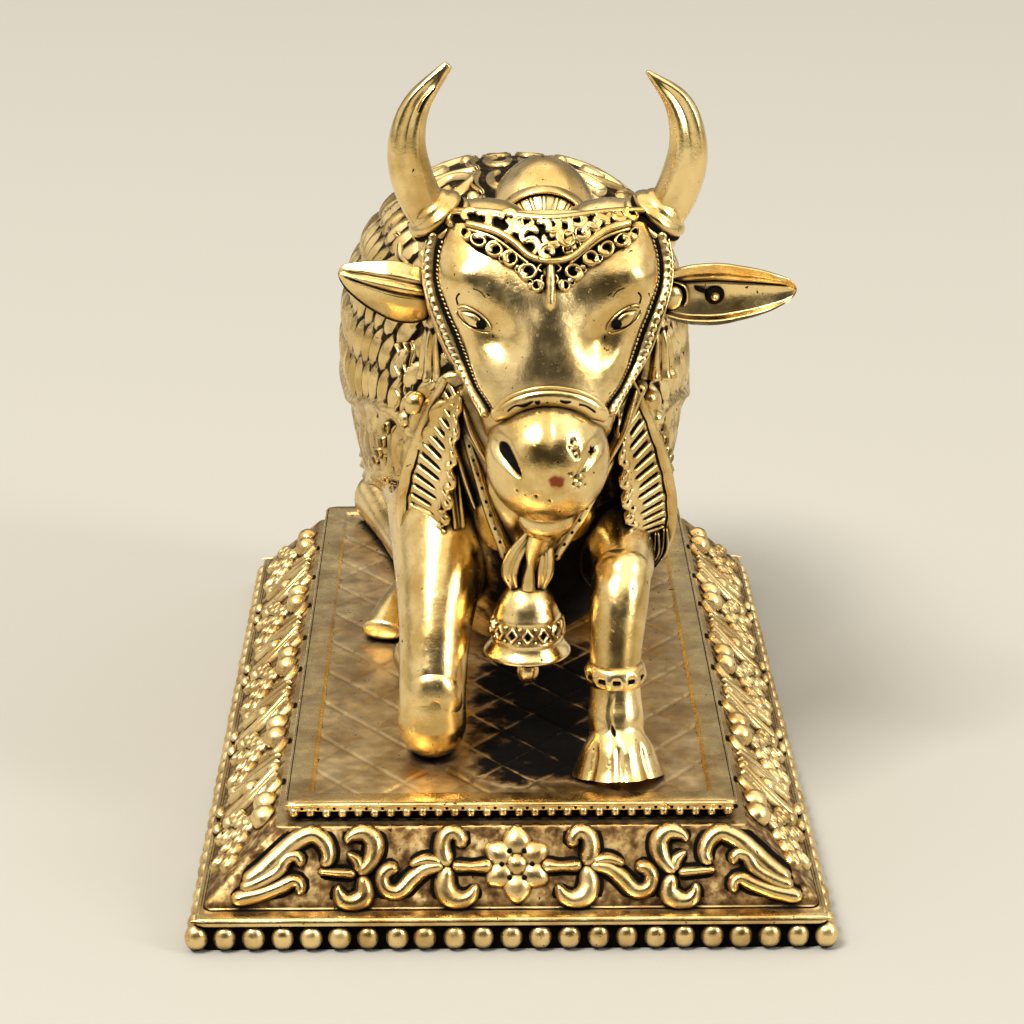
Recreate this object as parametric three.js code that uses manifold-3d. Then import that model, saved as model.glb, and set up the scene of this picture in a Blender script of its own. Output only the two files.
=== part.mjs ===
// A small brass bull lying on a rectangular plinth, one foreleg raised, in harness and saddle cloth.
// Millimetres, +Z up. The bull faces -Y. The origin is the middle of the plinth's underside.
// Two pieces: the plinth, and the bull with its horns, harness, bell and saddle cloth in one casting.

import * as THREE from 'three';
import { mergeVertices } from 'three/addons/utils/BufferGeometryUtils.js';
import Module from 'manifold-3d';

const wasm = await Module();
wasm.setup();

// Plinth: overall size, then the plate on top, set in from the foot at the sides and ends
const PLINTH_WIDTH = 42;
const PLINTH_LENGTH = 67.4;
const PLINTH_HEIGHT = 8.6;
const PLATE_SIDE_INSET = 6.4;
const PLATE_END_INSET = 4.6;
const PLATE_THICKNESS = 0.65;
const BORDER_WIDTH = 1.5;
const FIELD_DEPTH = 0.15;
const FIELD_BEVEL = 0.2;

// Bead row along the foot of the plinth, standing out from a plain face
const BEAD_PITCH = 1.83;
const BEAD_WIDTH = 1.4;
const BEAD_HEIGHT = 1.95;
const BEAD_FACE_INSET = 0.78;
const BEAD_FACE_GAP = 0.06;

// Lip above the beads, the ledge behind it, the sloping panel and the recess under the plate
const LIP_INSET = 0.12;
const LIP_HEIGHT = 0.5;
const PANEL_FOOT_INSET = 1.75;
const PANEL_FOOT_RISE = 0.4;
const PANEL_TOP_MARGIN = 0.7;
const PANEL_TOP_DROP = 1.4;
const RECESS_DEPTH = 0.5;

// Relief on the panels
const RELIEF_HEIGHT = 0.62;
const RELIEF_ROOT = 0.25;
const SCROLL_WIDTH = 0.95;
const BERRY_RADIUS = 0.85;
const STUD_CORNERS = 5;
const FLOWER_RADIUS = 2.05;
const SIDE_MOTIF_PITCH = 12.9;

// Bull: one height, from the plate's field to the horn tips, divided into equal parts
const BULL_HEIGHT = 45;
const PARTS_IN_HEIGHT = 45;
const PART = BULL_HEIGHT / PARTS_IN_HEIGHT;
const MIDLINE = 1.0;
const FACE_LINE = 2.55;

// Saddle cloth and harness: how far they stand out, and the pitch of the cloth's hanging petals
const CLOTH_RISE = 0.5;
const SKIRT_RISE = 0.2;
const HEM_RISE = 0.95;
const HEM_WIDTH = 0.9;
const PETAL_RISE = 0.5;
const PETAL_PITCH = 3.5;
const VINE_RISE = 0.9;
const STRAP_HALF_WIDTH = 0.5;
const STRAP_RISE = 0.4;
const NOSEBAND_RISE = 0.7;
const STRAP_ROOT = 0.6;

// Bell under the chin
const BELL_RADIUS = 2.9;
const BELL_HEIGHT = 5.8;
const BELL_WALL = 0.5;

const DEGREE = Math.PI / 180;
const HALF_WIDTH = PLINTH_WIDTH / 2;
const HALF_LENGTH = PLINTH_LENGTH / 2;
const BULL_SEAT = PLINTH_HEIGHT - FIELD_DEPTH;
const UP = new THREE.Vector3(0, 0, 1);
const FRONT = new THREE.Vector3(0, -1, 0);

// Solid from any closed three.js geometry
function toSolid(geometry) {
  const bare = geometry.clone();
  bare.deleteAttribute('normal');
  bare.deleteAttribute('uv');
  const merged = mergeVertices(bare, 1e-5);
  return new wasm.Manifold(new wasm.Mesh({
    numProp: 3,
    vertProperties: new Float32Array(merged.attributes.position.array),
    triVerts: new Uint32Array(merged.index.array),
  }));
}

function toGeometry(solid) {
  const mesh = solid.getMesh();
  const geometry = new THREE.BufferGeometry();
  geometry.setAttribute('position', new THREE.BufferAttribute(mesh.vertProperties, 3));
  geometry.setIndex(new THREE.BufferAttribute(mesh.triVerts, 1));
  geometry.computeVertexNormals();
  return geometry;
}

const join = (solids) => solids.reduce((whole, next) => whole.add(next));

// Closed skin through rings of points that all run the same way round
function loft(rings) {
  const sides = rings[0].length;
  const faces = [];
  for (let ring = 0; ring + 1 < rings.length; ring += 1) {
    for (let side = 0; side < sides; side += 1) {
      const a = ring * sides + side;
      const b = ring * sides + ((side + 1) % sides);
      faces.push([a, b, b + sides]);
      faces.push([a, b + sides, a + sides]);
    }
  }
  const last = (rings.length - 1) * sides;
  for (let side = 1; side + 1 < sides; side += 1) {
    faces.push([0, side + 1, side]);
    faces.push([last, last + side, last + side + 1]);
  }
  const points = rings.flat();
  const volume = faces.reduce((sum, [a, b, c]) => (
    sum + points[a].dot(points[b].clone().cross(points[c]))), 0);
  const outward = volume > 0 ? faces : faces.map(([a, b, c]) => [a, c, b]);
  const geometry = new THREE.BufferGeometry().setFromPoints(points);
  geometry.setIndex(outward.flat());
  return toSolid(geometry);
}

// Ellipsoid with its axis upright
function ball(middle, radii, sides = 8, rows = 6) {
  const geometry = new THREE.SphereGeometry(1, sides, rows);
  geometry.rotateX(90 * DEGREE);
  geometry.scale(radii.x, radii.y, radii.z);
  geometry.translate(middle.x, middle.y, middle.z);
  return toSolid(geometry);
}

const spot = (x, y, z) => new THREE.Vector3(x, y, z).multiplyScalar(PART);

// A rounded form swept through stations [x, y, z, half width, half depth] in parts of the height.
// Its surface is addressed by t, from 0 to 1 along it, and the angle from the leading side.
// Roundness 2 is an ellipse and more is squarer; taper narrows the side away from the leading one.
function form(stations, lead, roundness = 2, taper = 0) {
  const route = new THREE.CatmullRomCurve3(
    stations.map(([x, y, z]) => spot(x, y, z)), false, 'catmullrom', 0.5);
  const sizes = new THREE.CatmullRomCurve3(
    stations.map(([, , , wide, deep]) => spot(wide, deep, 0)), false, 'catmullrom', 0.5);

  function at(t, angle, rise = 0) {
    const middle = route.getPoint(t);
    const tangent = route.getTangent(t);
    const forward = lead.clone().addScaledVector(tangent, -lead.dot(tangent)).normalize();
    const side = new THREE.Vector3().crossVectors(tangent, forward);
    const size = sizes.getPoint(t);
    const c = Math.cos(angle);
    const s = Math.sin(angle);
    const reach = (Math.abs(c) ** roundness + Math.abs(s) ** roundness) ** (-1 / roundness);
    const wide = size.x * (1 + taper * c * reach);
    const normal = new THREE.Vector2(s / size.x, c / size.y).normalize();
    return middle
      .addScaledVector(side, wide * reach * s + rise * normal.x)
      .addScaledVector(forward, size.y * reach * c + rise * normal.y);
  }

  function solid(steps, sides) {
    const rings = [];
    for (let step = 0; step <= steps; step += 1) {
      const ring = [];
      for (let side = 0; side < sides; side += 1) {
        ring.push(at(step / steps, (side + 0.5) / sides * 360 * DEGREE));
      }
      rings.push(ring);
    }
    return loft(rings);
  }

  return { at, solid };
}

// Raised ridge with a roof-shaped section. path(s) gives a function of rise at s, from 0 to 1,
// and width(s) the half width there.
function ridge(path, width, rise, root, steps) {
  const rings = [];
  for (let step = 0; step <= steps; step += 1) {
    const s = step / steps;
    const here = path(s)(0);
    const crest = path(s)(rise);
    const ahead = path(Math.min(1, s + 0.01))(0);
    const behind = path(Math.max(0, s - 0.01))(0);
    const along = ahead.clone().sub(behind).normalize();
    const up = crest.clone().sub(here).normalize();
    const across = new THREE.Vector3().crossVectors(along, up).normalize();
    const foot = path(s)(-root);
    rings.push([
      foot.clone().addScaledVector(across, -width(s)),
      crest,
      foot.clone().addScaledVector(across, width(s)),
    ]);
  }
  return loft(rings);
}

const ridgeOn = (surface, route, halfWidth, rise, root, steps) => ridge(
  (s) => (height) => surface.at(...route(s), height), () => halfWidth, rise, root, steps);

// Faceted stud on a flat face. place(u, v, out) gives points across, up and out from the face.
function stud(place, halfWide, halfHigh, rise, root) {
  const ring = (share, out) => {
    const points = [];
    for (let corner = 0; corner < STUD_CORNERS; corner += 1) {
      const angle = (90 + corner * 360 / STUD_CORNERS) * DEGREE;
      points.push(place(Math.cos(angle) * halfWide * share, Math.sin(angle) * halfHigh * share, out));
    }
    return points;
  };
  return loft([ring(1, -root), ring(0.55, rise)]);
}

// Plinth

const PANEL_FOOT = BEAD_HEIGHT + LIP_HEIGHT + PANEL_FOOT_RISE;
const PANEL_TOP = PLINTH_HEIGHT - PANEL_TOP_DROP;
const PANEL_RISE = PANEL_TOP - PANEL_FOOT;
const PANEL_SIDE_RUN = PLATE_SIDE_INSET - PANEL_TOP_MARGIN - PANEL_FOOT_INSET;
const PANEL_END_RUN = PLATE_END_INSET - PANEL_TOP_MARGIN - PANEL_FOOT_INSET;

function rectangle(sideInset, endInset, z) {
  const x = HALF_WIDTH - sideInset;
  const y = HALF_LENGTH - endInset;
  return [[x, y], [-x, y], [-x, -y], [x, -y]].map(([u, v]) => new THREE.Vector3(u, v, z));
}

function plinthBody() {
  const even = (inset, z) => rectangle(inset, inset, z);
  const fromPlate = (inset, z) => rectangle(PLATE_SIDE_INSET + inset, PLATE_END_INSET + inset, z);
  const lipTop = BEAD_HEIGHT + LIP_HEIGHT;
  const plateFoot = PLINTH_HEIGHT - PLATE_THICKNESS;
  return loft([
    even(BEAD_FACE_INSET, 0),
    even(BEAD_FACE_INSET, BEAD_HEIGHT),
    even(LIP_INSET, BEAD_HEIGHT),
    even(LIP_INSET, lipTop),
    even(PANEL_FOOT_INSET, lipTop),
    even(PANEL_FOOT_INSET, PANEL_FOOT),
    fromPlate(-PANEL_TOP_MARGIN, PANEL_TOP),
    fromPlate(RECESS_DEPTH, PANEL_TOP),
    fromPlate(RECESS_DEPTH, plateFoot),
    fromPlate(0, plateFoot),
    fromPlate(0, PLINTH_HEIGHT),
    fromPlate(BORDER_WIDTH, PLINTH_HEIGHT),
    fromPlate(BORDER_WIDTH + FIELD_BEVEL, BULL_SEAT),
  ]);
}

// Beads stand a pitch apart round the foot, with a whole one on each corner
function beadRow() {
  const radius = BEAD_WIDTH / 2;
  const middle = BEAD_HEIGHT / 2;
  const radii = new THREE.Vector3(radius, radius, middle - BEAD_FACE_GAP);
  const beads = [];
  for (let quarter = 0; quarter < 4; quarter += 1) {
    const half = quarter % 2 === 0 ? HALF_LENGTH : HALF_WIDTH;
    const reach = (quarter % 2 === 0 ? HALF_WIDTH : HALF_LENGTH) - radius;
    const count = Math.round(2 * reach / BEAD_PITCH);
    const turned = (x, y, z) => new THREE.Vector3(x, y, z).applyAxisAngle(UP, quarter * 90 * DEGREE);
    beads.push(ball(turned(reach, radius - half, middle), radii, 6, 4));
    for (let i = 1; i < count; i += 1) {
      const along = -reach + 2 * reach * i / count;
      const place = (u, v, out) => turned(along + u, BEAD_FACE_INSET - half - out, middle + v);
      beads.push(stud(place, radii.x, radii.z, BEAD_FACE_INSET, RELIEF_ROOT));
    }
  }
  return beads;
}

// The quarter turn picks the panel: 0 front, 1 right, 2 back, 3 left
const panelRun = (quarter) => (quarter % 2 === 0 ? PANEL_END_RUN : PANEL_SIDE_RUN);
const panelSlope = (quarter) => Math.hypot(panelRun(quarter), PANEL_RISE);

// Point on a panel: along its length, up its slope (0 to 1) and out from its face
function panelSpot(quarter, along, up, out) {
  const half = quarter % 2 === 0 ? HALF_LENGTH : HALF_WIDTH;
  const run = panelRun(quarter);
  const slope = panelSlope(quarter);
  const away = half - PANEL_FOOT_INSET - run * up + out * PANEL_RISE / slope;
  const height = PANEL_FOOT + PANEL_RISE * up + out * run / slope;
  return new THREE.Vector3(along, -away, height).applyAxisAngle(UP, quarter * 90 * DEGREE);
}

// Scroll stroke with a roof-shaped section and mitred bends through [along, up] points of a panel
function scroll(quarter, points, halfWidth, steps, mirrored = false) {
  const hand = mirrored ? -1 : 1;
  const slope = panelSlope(quarter);
  const curve = new THREE.SplineCurve(points.map(([u, v]) => new THREE.Vector2(u * hand, v * slope)));
  const stops = curve.getPoints(steps);
  const normals = stops.slice(1).map((stop, i) => {
    const along = stop.clone().sub(stops[i]).normalize();
    return new THREE.Vector2(-along.y, along.x);
  });
  const place = (point, out) => panelSpot(quarter, point.x, point.y / slope, out);
  return loft(stops.map((stop, i) => {
    const before = normals[Math.max(0, i - 1)];
    const after = normals[Math.min(steps - 1, i)];
    const mitre = before.clone().add(after).normalize();
    mitre.multiplyScalar(halfWidth / Math.max(0.6, mitre.dot(before)));
    return [
      place(stop.clone().sub(mitre), -RELIEF_ROOT),
      place(stop, RELIEF_HEIGHT),
      place(stop.clone().add(mitre), -RELIEF_ROOT),
    ];
  }));
}

// End relief: distances from the middle flower, and shares of the panel's rise
const S_SCROLL = [[3.4, 0.72], [3.5, 0.9], [4.5, 0.95], [5.0, 0.76], [4.3, 0.56], [4.65, 0.3],
  [4.2, 0.06], [3.3, 0.06], [2.7, 0.24]];
const VINE = [[1.6, 0.47], [2.9, 0.44], [4.2, 0.55], [5.4, 0.46], [6.4, 0.24], [8.0, 0.1], [9.1, 0.3],
  [8.5, 0.5], [7.7, 0.4]];
const VINE_LEAF = [[5.3, 0.5], [7.3, 0.6]];
const C_SCROLL = [[11.1, 0.72], [10.5, 0.9], [9.3, 0.88], [9.2, 0.66], [10.4, 0.46], [9.6, 0.24],
  [9.9, 0.04], [11.2, 0.04], [11.6, 0.26]];
const CREST = [[10.6, 0.45], [11.7, 0.44], [12.2, 0.7], [13.1, 0.94], [14.7, 0.9], [15.6, 0.62],
  [16.9, 0.34]];
const CORNER_LEAF = [[18.3, 0.08], [17.6, 0.26], [16.3, 0.34], [14.8, 0.4], [14.4, 0.16]];

// Six-petalled flower with a raised heart
function flower(quarter) {
  const outline = (share, out) => {
    const ring = [];
    for (let corner = 0; corner < 12; corner += 1) {
      const reach = FLOWER_RADIUS * share * (corner % 2 === 0 ? 1 : 0.68);
      const angle = (90 + corner * 30) * DEGREE;
      ring.push(panelSpot(
        quarter, Math.cos(angle) * reach, 0.5 + Math.sin(angle) * reach / PANEL_RISE, out));
    }
    return ring;
  };
  return [
    loft([outline(1, -RELIEF_ROOT), outline(0.72, RELIEF_HEIGHT)]),
    ball(panelSpot(quarter, 0, 0.5, RELIEF_HEIGHT),
      new THREE.Vector3(1, 1, 1).multiplyScalar(FLOWER_RADIUS * 0.36), 6, 4),
  ];
}

function endRelief(quarter, strokes) {
  const half = SCROLL_WIDTH / 2;
  const solids = flower(quarter);
  for (const mirrored of [false, true]) {
    for (const [points, steps] of strokes) {
      solids.push(scroll(quarter, points, half, steps, mirrored));
    }
  }
  return solids;
}

// Strokes on each half of an end panel, with the number of straight lengths in each
const FRONT_STROKES = [
  [S_SCROLL, 7],
  [VINE, 7],
  [VINE_LEAF, 1],
  [C_SCROLL, 7],
  [CREST, 5],
  [CORNER_LEAF, 3],
];
const BACK_STROKES = [
  [VINE, 6],
  [C_SCROLL, 6],
  [CORNER_LEAF, 3],
];

// Side relief: a pair of berries over nested scale arcs, with slanting leaves between the motifs
function sideMotif(quarter, middle) {
  const half = SCROLL_WIDTH / 2;
  const slope = panelSlope(quarter);
  const solids = [];
  for (const hand of [-1, 1]) {
    const berry = (u, v, out) => panelSpot(
      quarter, middle + hand * (BERRY_RADIUS + 0.1) + u, 0.84 + v / slope, out);
    solids.push(stud(berry, BERRY_RADIUS, BERRY_RADIUS, BERRY_RADIUS, RELIEF_ROOT));
    const leaf = [[middle + hand * 5.8, 0.92], [middle + hand * 5.0, 0.08]];
    solids.push(scroll(quarter, leaf, half, 1));
  }
  for (const reach of [2.0, 3.6]) {
    const arc = [-72, 0, 72].map((turn) => [
      middle + Math.sin(turn * DEGREE) * reach,
      0.74 - Math.cos(turn * DEGREE) * reach * 0.95 / slope,
    ]);
    solids.push(scroll(quarter, arc, half * 0.85, 2));
  }
  return solids;
}

function sideRelief(quarter) {
  const count = Math.floor((PLINTH_LENGTH - 2 * PLATE_SIDE_INSET) / SIDE_MOTIF_PITCH);
  const solids = [];
  for (let i = 0; i < count; i += 1) {
    solids.push(...sideMotif(quarter, (i - (count - 1) / 2) * SIDE_MOTIF_PITCH));
  }
  return solids;
}

const plinthSolid = () => join([
  plinthBody(),
  ...beadRow(),
  ...endRelief(0, FRONT_STROKES),
  ...sideRelief(1),
  ...endRelief(2, BACK_STROKES),
  ...sideRelief(3),
]);

// Bull: stations are [x, y, z, half width, half depth] in parts, z from the plate's field

const torso = form([
  [1.7, -16, 14.5, 4, 6],
  [1.5, -12.5, 15.8, 8, 11.4],
  [1.1, -7, 17, 10.2, 15.6],
  [0.7, 1, 17.6, 11.4, 17.3],
  [0.6, 9, 17.1, 11.7, 16.4],
  [0.6, 17, 15.8, 11.5, 14.6],
  [0.7, 22.6, 14.2, 9.6, 12.3],
  [0.8, 26, 12.7, 4.8, 6.7],
], UP, 2.15, 0.22);

// Saddle cloth: where it starts and ends along the torso, and the angles of its two hems
const CLOTH_START = 0.365;
const CLOTH_END = 0.82;
const CLOTH_HEM = 84;
const SKIRT_HEM = 106;

// Angles round the torso with the rise of the cloth there: on a petal's crest and between petals
const HEM_ANGLE = 2.2;
const CLOTH_PROFILE = [
  [54, CLOTH_RISE, CLOTH_RISE],
  [CLOTH_HEM - 16, CLOTH_RISE + PETAL_RISE, CLOTH_RISE],
  [CLOTH_HEM - HEM_ANGLE, CLOTH_RISE, CLOTH_RISE],
  [CLOTH_HEM, HEM_RISE, HEM_RISE],
  [(CLOTH_HEM + SKIRT_HEM) / 2, SKIRT_RISE + PETAL_RISE, SKIRT_RISE],
  [SKIRT_HEM, HEM_RISE, HEM_RISE],
  [SKIRT_HEM + HEM_ANGLE, 0, 0],
  [145, 0, 0],
];

// One closed skin for the torso with the cloth raised on it: hems, hanging petals and, on the
// back, a waving vine left and right of the spine
function dressedTorso() {
  const run = torso.at(CLOTH_END, 90 * DEGREE).distanceTo(torso.at(CLOTH_START, 90 * DEGREE));
  const petals = Math.round(run / PETAL_PITCH);
  const edge = HEM_WIDTH / run * (CLOTH_END - CLOTH_START);
  const ring = (t, clothRise, vineAngle, riseOf) => {
    const half = [[vineAngle, clothRise === CLOTH_RISE ? VINE_RISE : clothRise]];
    for (const [angle, crest, between] of CLOTH_PROFILE) {
      half.push([angle, riseOf(crest, between)]);
    }
    const side = (hand) => half.map(([angle, rise]) => torso.at(t, hand * angle * DEGREE, rise));
    return [torso.at(t, 0, clothRise), ...side(1), ...side(-1).reverse()];
  };
  const bare = (t) => ring(t, 0, 26, () => 0);
  const hem = (t) => ring(t, HEM_RISE, 26, (crest) => (crest === 0 ? 0 : HEM_RISE));
  const rings = [0, 0.13, 0.26, CLOTH_START - edge].map(bare);
  rings.push(hem(CLOTH_START));
  for (let i = 0; i <= 2 * petals; i += 1) {
    const t = THREE.MathUtils.lerp(CLOTH_START + edge, CLOTH_END - edge, i / (2 * petals));
    const vineAngle = 26 + 12 * Math.cos(i * 90 * DEGREE);
    rings.push(ring(t, CLOTH_RISE, vineAngle, (crest, between) => (i % 2 === 1 ? crest : between)));
  }
  rings.push(hem(CLOTH_END), ...[CLOTH_END + edge, 0.92, 1].map(bare));
  return loft(rings);
}

const neck = form([
  [1.3, -4, 21, 8.6, 10.4],
  [1.6, -8.5, 24, 7.9, 9],
  [2.1, -11.5, 27, 7, 7.6],
  [2.5, -13.6, 29.6, 6, 6.4],
], UP);

const head = form([
  [2.5, -19.9, 22.4, 4.1, 3.7],
  [2.5, -18.5, 24.6, 5.1, 4.2],
  [FACE_LINE, -16.9, 27.2, 6.9, 4.9],
  [FACE_LINE, -15.2, 30.4, 8.1, 5.2],
  [FACE_LINE, -13.7, 33.6, 8, 4.8],
  [FACE_LINE, -12.2, 36.1, 6.6, 3],
], FRONT, 2.4);

// Head with the rope halter down both sides of the face and the band over the nose raised on it
function halteredHead() {
  const noseband = 0.09;
  const stops = [0, noseband - 0.04, noseband, noseband + 0.04, 0.3, 0.5, 0.7, 0.88, 1];
  return loft(stops.map((t) => {
    const isBand = t === noseband;
    const isHaltered = t > noseband + 0.03 && t < 1;
    const halter = 74 + 10 * t;
    const half = [[15, 0], [45, 0], [halter - 6, 0], [halter, isHaltered ? STRAP_RISE : 0],
      [halter + 6, 0], [115, 0], [155, 0]];
    const side = (hand) => half.map(([angle, rise]) => (
      head.at(t, hand * angle * DEGREE, isBand ? NOSEBAND_RISE : rise)));
    return [...side(1), ...side(-1).reverse()];
  }));
}

function bodyForms() {
  return [
    dressedTorso(),
    neck.solid(3, 10),
    halteredHead(),
    ball(spot(1.7, -10.5, 14.5), spot(7.4, 7, 9.6), 10, 5),
    ball(spot(2.5, -3.4, 30.6), spot(4.3, 5.4, 6.4), 9, 6),
  ];
}

function muzzle() {
  return [
    ball(spot(2.45, -21.4, 21.1), spot(4.05, 4, 4.25), 10, 7),
    ball(spot(2.4, -20.6, 16.8), spot(1.9, 2, 1.6), 7, 4),
  ];
}

// Right foreleg kneels: the forearm comes down to the knee and the cannon folds back under it
function kneelingLeg() {
  const forearm = form([
    [-5.2, -21.9, 2, 2.2, 2],
    [-5.15, -20.6, 4.8, 2.15, 2.3],
    [-4.9, -17.6, 9, 2.5, 3],
    [-4.3, -12, 14, 3.8, 4.6],
  ], FRONT);
  const cannon = form([
    [-5.2, -21, 1.7, 1.9, 1.7],
    [-5.6, -14, 1.5, 1.5, 1.5],
    [-6.2, -8, 1.8, 2, 1.9],
  ], UP);
  return [
    forearm.solid(3, 6),
    ball(spot(-5.2, -21.3, 2.3), spot(2.35, 2.1, 2.6), 7, 5),
    cannon.solid(2, 6),
  ];
}

// Left foreleg is raised: the forearm reaches forward to a high knee and the hoof stands on the plate
function raisedLeg() {
  const cannon = form([
    [7.15, -24.5, -0.2, 2.9, 3],
    [7.1, -24, 2, 2.2, 2.2],
    [7.0, -22.9, 4.6, 1.75, 1.75],
    [7.0, -22, 7.2, 1.7, 1.75],
    [7.3, -20.2, 10.6, 1.9, 2],
    [7.5, -18.8, 13, 1.9, 1.7],
  ], FRONT);
  const forearm = form([
    [7.5, -19.2, 12, 2, 2],
    [7.2, -15, 12.4, 2.9, 3.2],
    [6.4, -9, 12.6, 4, 4.8],
  ], UP);
  const anklet = ball(spot(7, -22.3, 6.4), spot(2.15, 2.2, 1.15), 8, 3);
  return [cannon.solid(5, 7), forearm.solid(2, 7), anklet];
}

// Hind legs lie folded under the belly, each with its hock at the rump and its hoof forward
function hindLeg(hand, hoofAway) {
  const x = (away) => MIDLINE + hand * away;
  const cannon = form([
    [x(11.9), 26, 2, 1.4, 2.2],
    [x(9.4), 18.5, 1.4, 1.5, 1.6],
    [x(7.6), 9, 1.3, 1.4, 1.5],
    [x((hoofAway + 7.6) / 2), 3.2, 1.6, 1.4, 1.6],
    [x(hoofAway), -0.8, 0.8, 1.6, 1.3],
  ], UP);
  return [
    ball(spot(x(6.2), 17, 9), spot(4.2, 8.8, 9.2), 7, 5),
    cannon.solid(4, 5),
  ];
}

// The tail hangs down the rump and its tuft lies on the plate
function tail() {
  const cord = form([
    [1.2, 25.5, 20, 1.3, 1.3],
    [1.6, 27.8, 14, 0.9, 0.9],
    [2.6, 28, 7, 0.9, 0.8],
    [3.6, 27.6, 0.4, 1.3, 1],
  ], FRONT);
  return [cord.solid(4, 4)];
}

// Horns curve out from collars on the poll and in again to their points
function horn(hand) {
  const x = (away) => FACE_LINE + hand * away;
  const core = form([
    [x(6.2), -13.6, 33.6, 1.3, 1.3],
    [x(7.9), -14.2, 35.9, 1.4, 1.4],
    [x(8.9), -14.5, 38.4, 1.4, 1.4],
    [x(9.1), -14.6, 40.7, 1.2, 1.2],
    [x(8.4), -14.5, 42.9, 0.8, 0.8],
    [x(6.6), -14.3, 44.95, 0.08, 0.08],
  ], FRONT);
  const collar = form([
    [x(5.2), -13.4, 33.4, 1.9, 2],
    [x(6.4), -13.7, 34.4, 2.1, 2.2],
    [x(7.4), -14, 35.5, 1.8, 1.9],
  ], FRONT);
  return [core.solid(7, 6), collar.solid(2, 6)];
}

// Leaf-shaped ears. The right one shows its ridged back, the left one its hollow.
function ear(hand, length, lift, dish) {
  const shape = [[0, 1.25], [0.2, 2.0], [0.45, 2.15], [0.75, 1.25], [1, 0.08]];
  const rootX = FACE_LINE + hand * 7.2;
  const rings = shape.map(([share, half]) => {
    const x = rootX + hand * length * share;
    const z = 30 + lift * share ** 2;
    const thick = 0.25 + half * 0.35;
    return [
      spot(x, -13.6, z + half),
      spot(x, -14.2 - dish * half, z + half * 0.15),
      spot(x, -13.9, z - half),
      spot(x, -13.2 + thick, z),
    ];
  });
  return [loft(rings)];
}

// Almond eye, a low faceted cushion on the face
function eye(hand) {
  const outline = (share, rise) => [0, 1, 2, 3, 4, 5].map((corner) => {
    const angle = corner * 60 * DEGREE;
    const turn = hand * (45 + Math.cos(angle) * 12 * share) * DEGREE;
    return head.at(0.45 + Math.sin(angle) * 0.045 * share, turn, rise);
  });
  return [loft([outline(1, -0.5), outline(0.45, 0.3)])];
}

// Headdress of two strands under the poll, a ridge down the forehead, a tassel below each ear
function headHarness() {
  const solids = [];
  const raise = (route, halfWidth, steps) => solids.push(
    ridgeOn(head, route, halfWidth, STRAP_RISE, STRAP_ROOT, steps));
  for (const hand of [-1, 1]) {
    raise((s) => [0.68 + 0.2 * s, hand * 66 * s * DEGREE], STRAP_HALF_WIDTH, 2);
    raise((s) => [0.86 + 0.06 * s, hand * 58 * s * DEGREE], 0.7, 2);
    const tassel = form([
      [FACE_LINE + hand * 7.2, -13.8, 29, 0.6, 0.6],
      [FACE_LINE + hand * 7.3, -14, 26.6, 1.15, 1.1],
      [FACE_LINE + hand * 7.2, -14.1, 24.4, 1.35, 1.2],
    ], FRONT);
    solids.push(tassel.solid(2, 5));
  }
  raise((s) => [0.68 - 0.14 * s, 0], 0.4, 1);
  return solids;
}

// Fringed collar: a crescent plate down each side of the neck, its face pleated into ribs.
// Rim points are [distance from the middle of the chest, y, z] in parts.
const COLLAR_LINE = 1.9;
const COLLAR_RIBS = 7;
const COLLAR_OUTER = [[6.1, -15.9, 24.8], [7.6, -15.4, 21.8], [8.8, -15, 18.4], [9.3, -14.6, 15.4],
  [8.9, -14.8, 13], [7.4, -16, 11.6]];
const COLLAR_INNER = [[4.9, -17.4, 23.8], [5.2, -18, 20.6], [5.4, -18, 17.6], [5.8, -17.6, 15.2],
  [6.2, -17.2, 13.9], [6.2, -17, 12.6]];

function collarWing(hand) {
  const rim = (points) => new THREE.CatmullRomCurve3(
    points.map(([away, y, z]) => spot(COLLAR_LINE + hand * away, y, z)));
  const outer = rim(COLLAR_OUTER);
  const inner = rim(COLLAR_INNER);
  const core = spot(COLLAR_LINE, -8, 17);
  const rings = [];
  for (let step = 0; step <= 2 * COLLAR_RIBS; step += 1) {
    const s = step / (2 * COLLAR_RIBS);
    const isRib = step % 2 === 1;
    const edge = outer.getPoint(s);
    const fringe = inner.getPoint(s).lerp(edge, isRib ? 0 : 0.18);
    const away = edge.clone().lerp(fringe, 0.5).sub(core).normalize();
    rings.push([
      edge.clone().addScaledVector(away, 0.35),
      fringe.clone().addScaledVector(away, isRib ? 0.35 : -0.1),
      edge.clone().lerp(core, 0.4),
    ]);
  }
  return [loft(rings)];
}

// Straps from the cheeks to the bell
function neckStrap(hand) {
  const route = new THREE.CatmullRomCurve3([
    spot(FACE_LINE + hand * 6.4, -15.4, 24.4),
    spot(2.2 + hand * 4.4, -17.4, 19),
    spot(1.8 + hand * 2.4, -18.3, 14.6),
    spot(1.4 + hand * 0.8, -18.8, 12.4),
  ]);
  const path = (s) => (rise) => route.getPoint(s).addScaledVector(FRONT, rise);
  return [ridge(path, () => STRAP_HALF_WIDTH, STRAP_RISE, 1.6, 3)];
}

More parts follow.
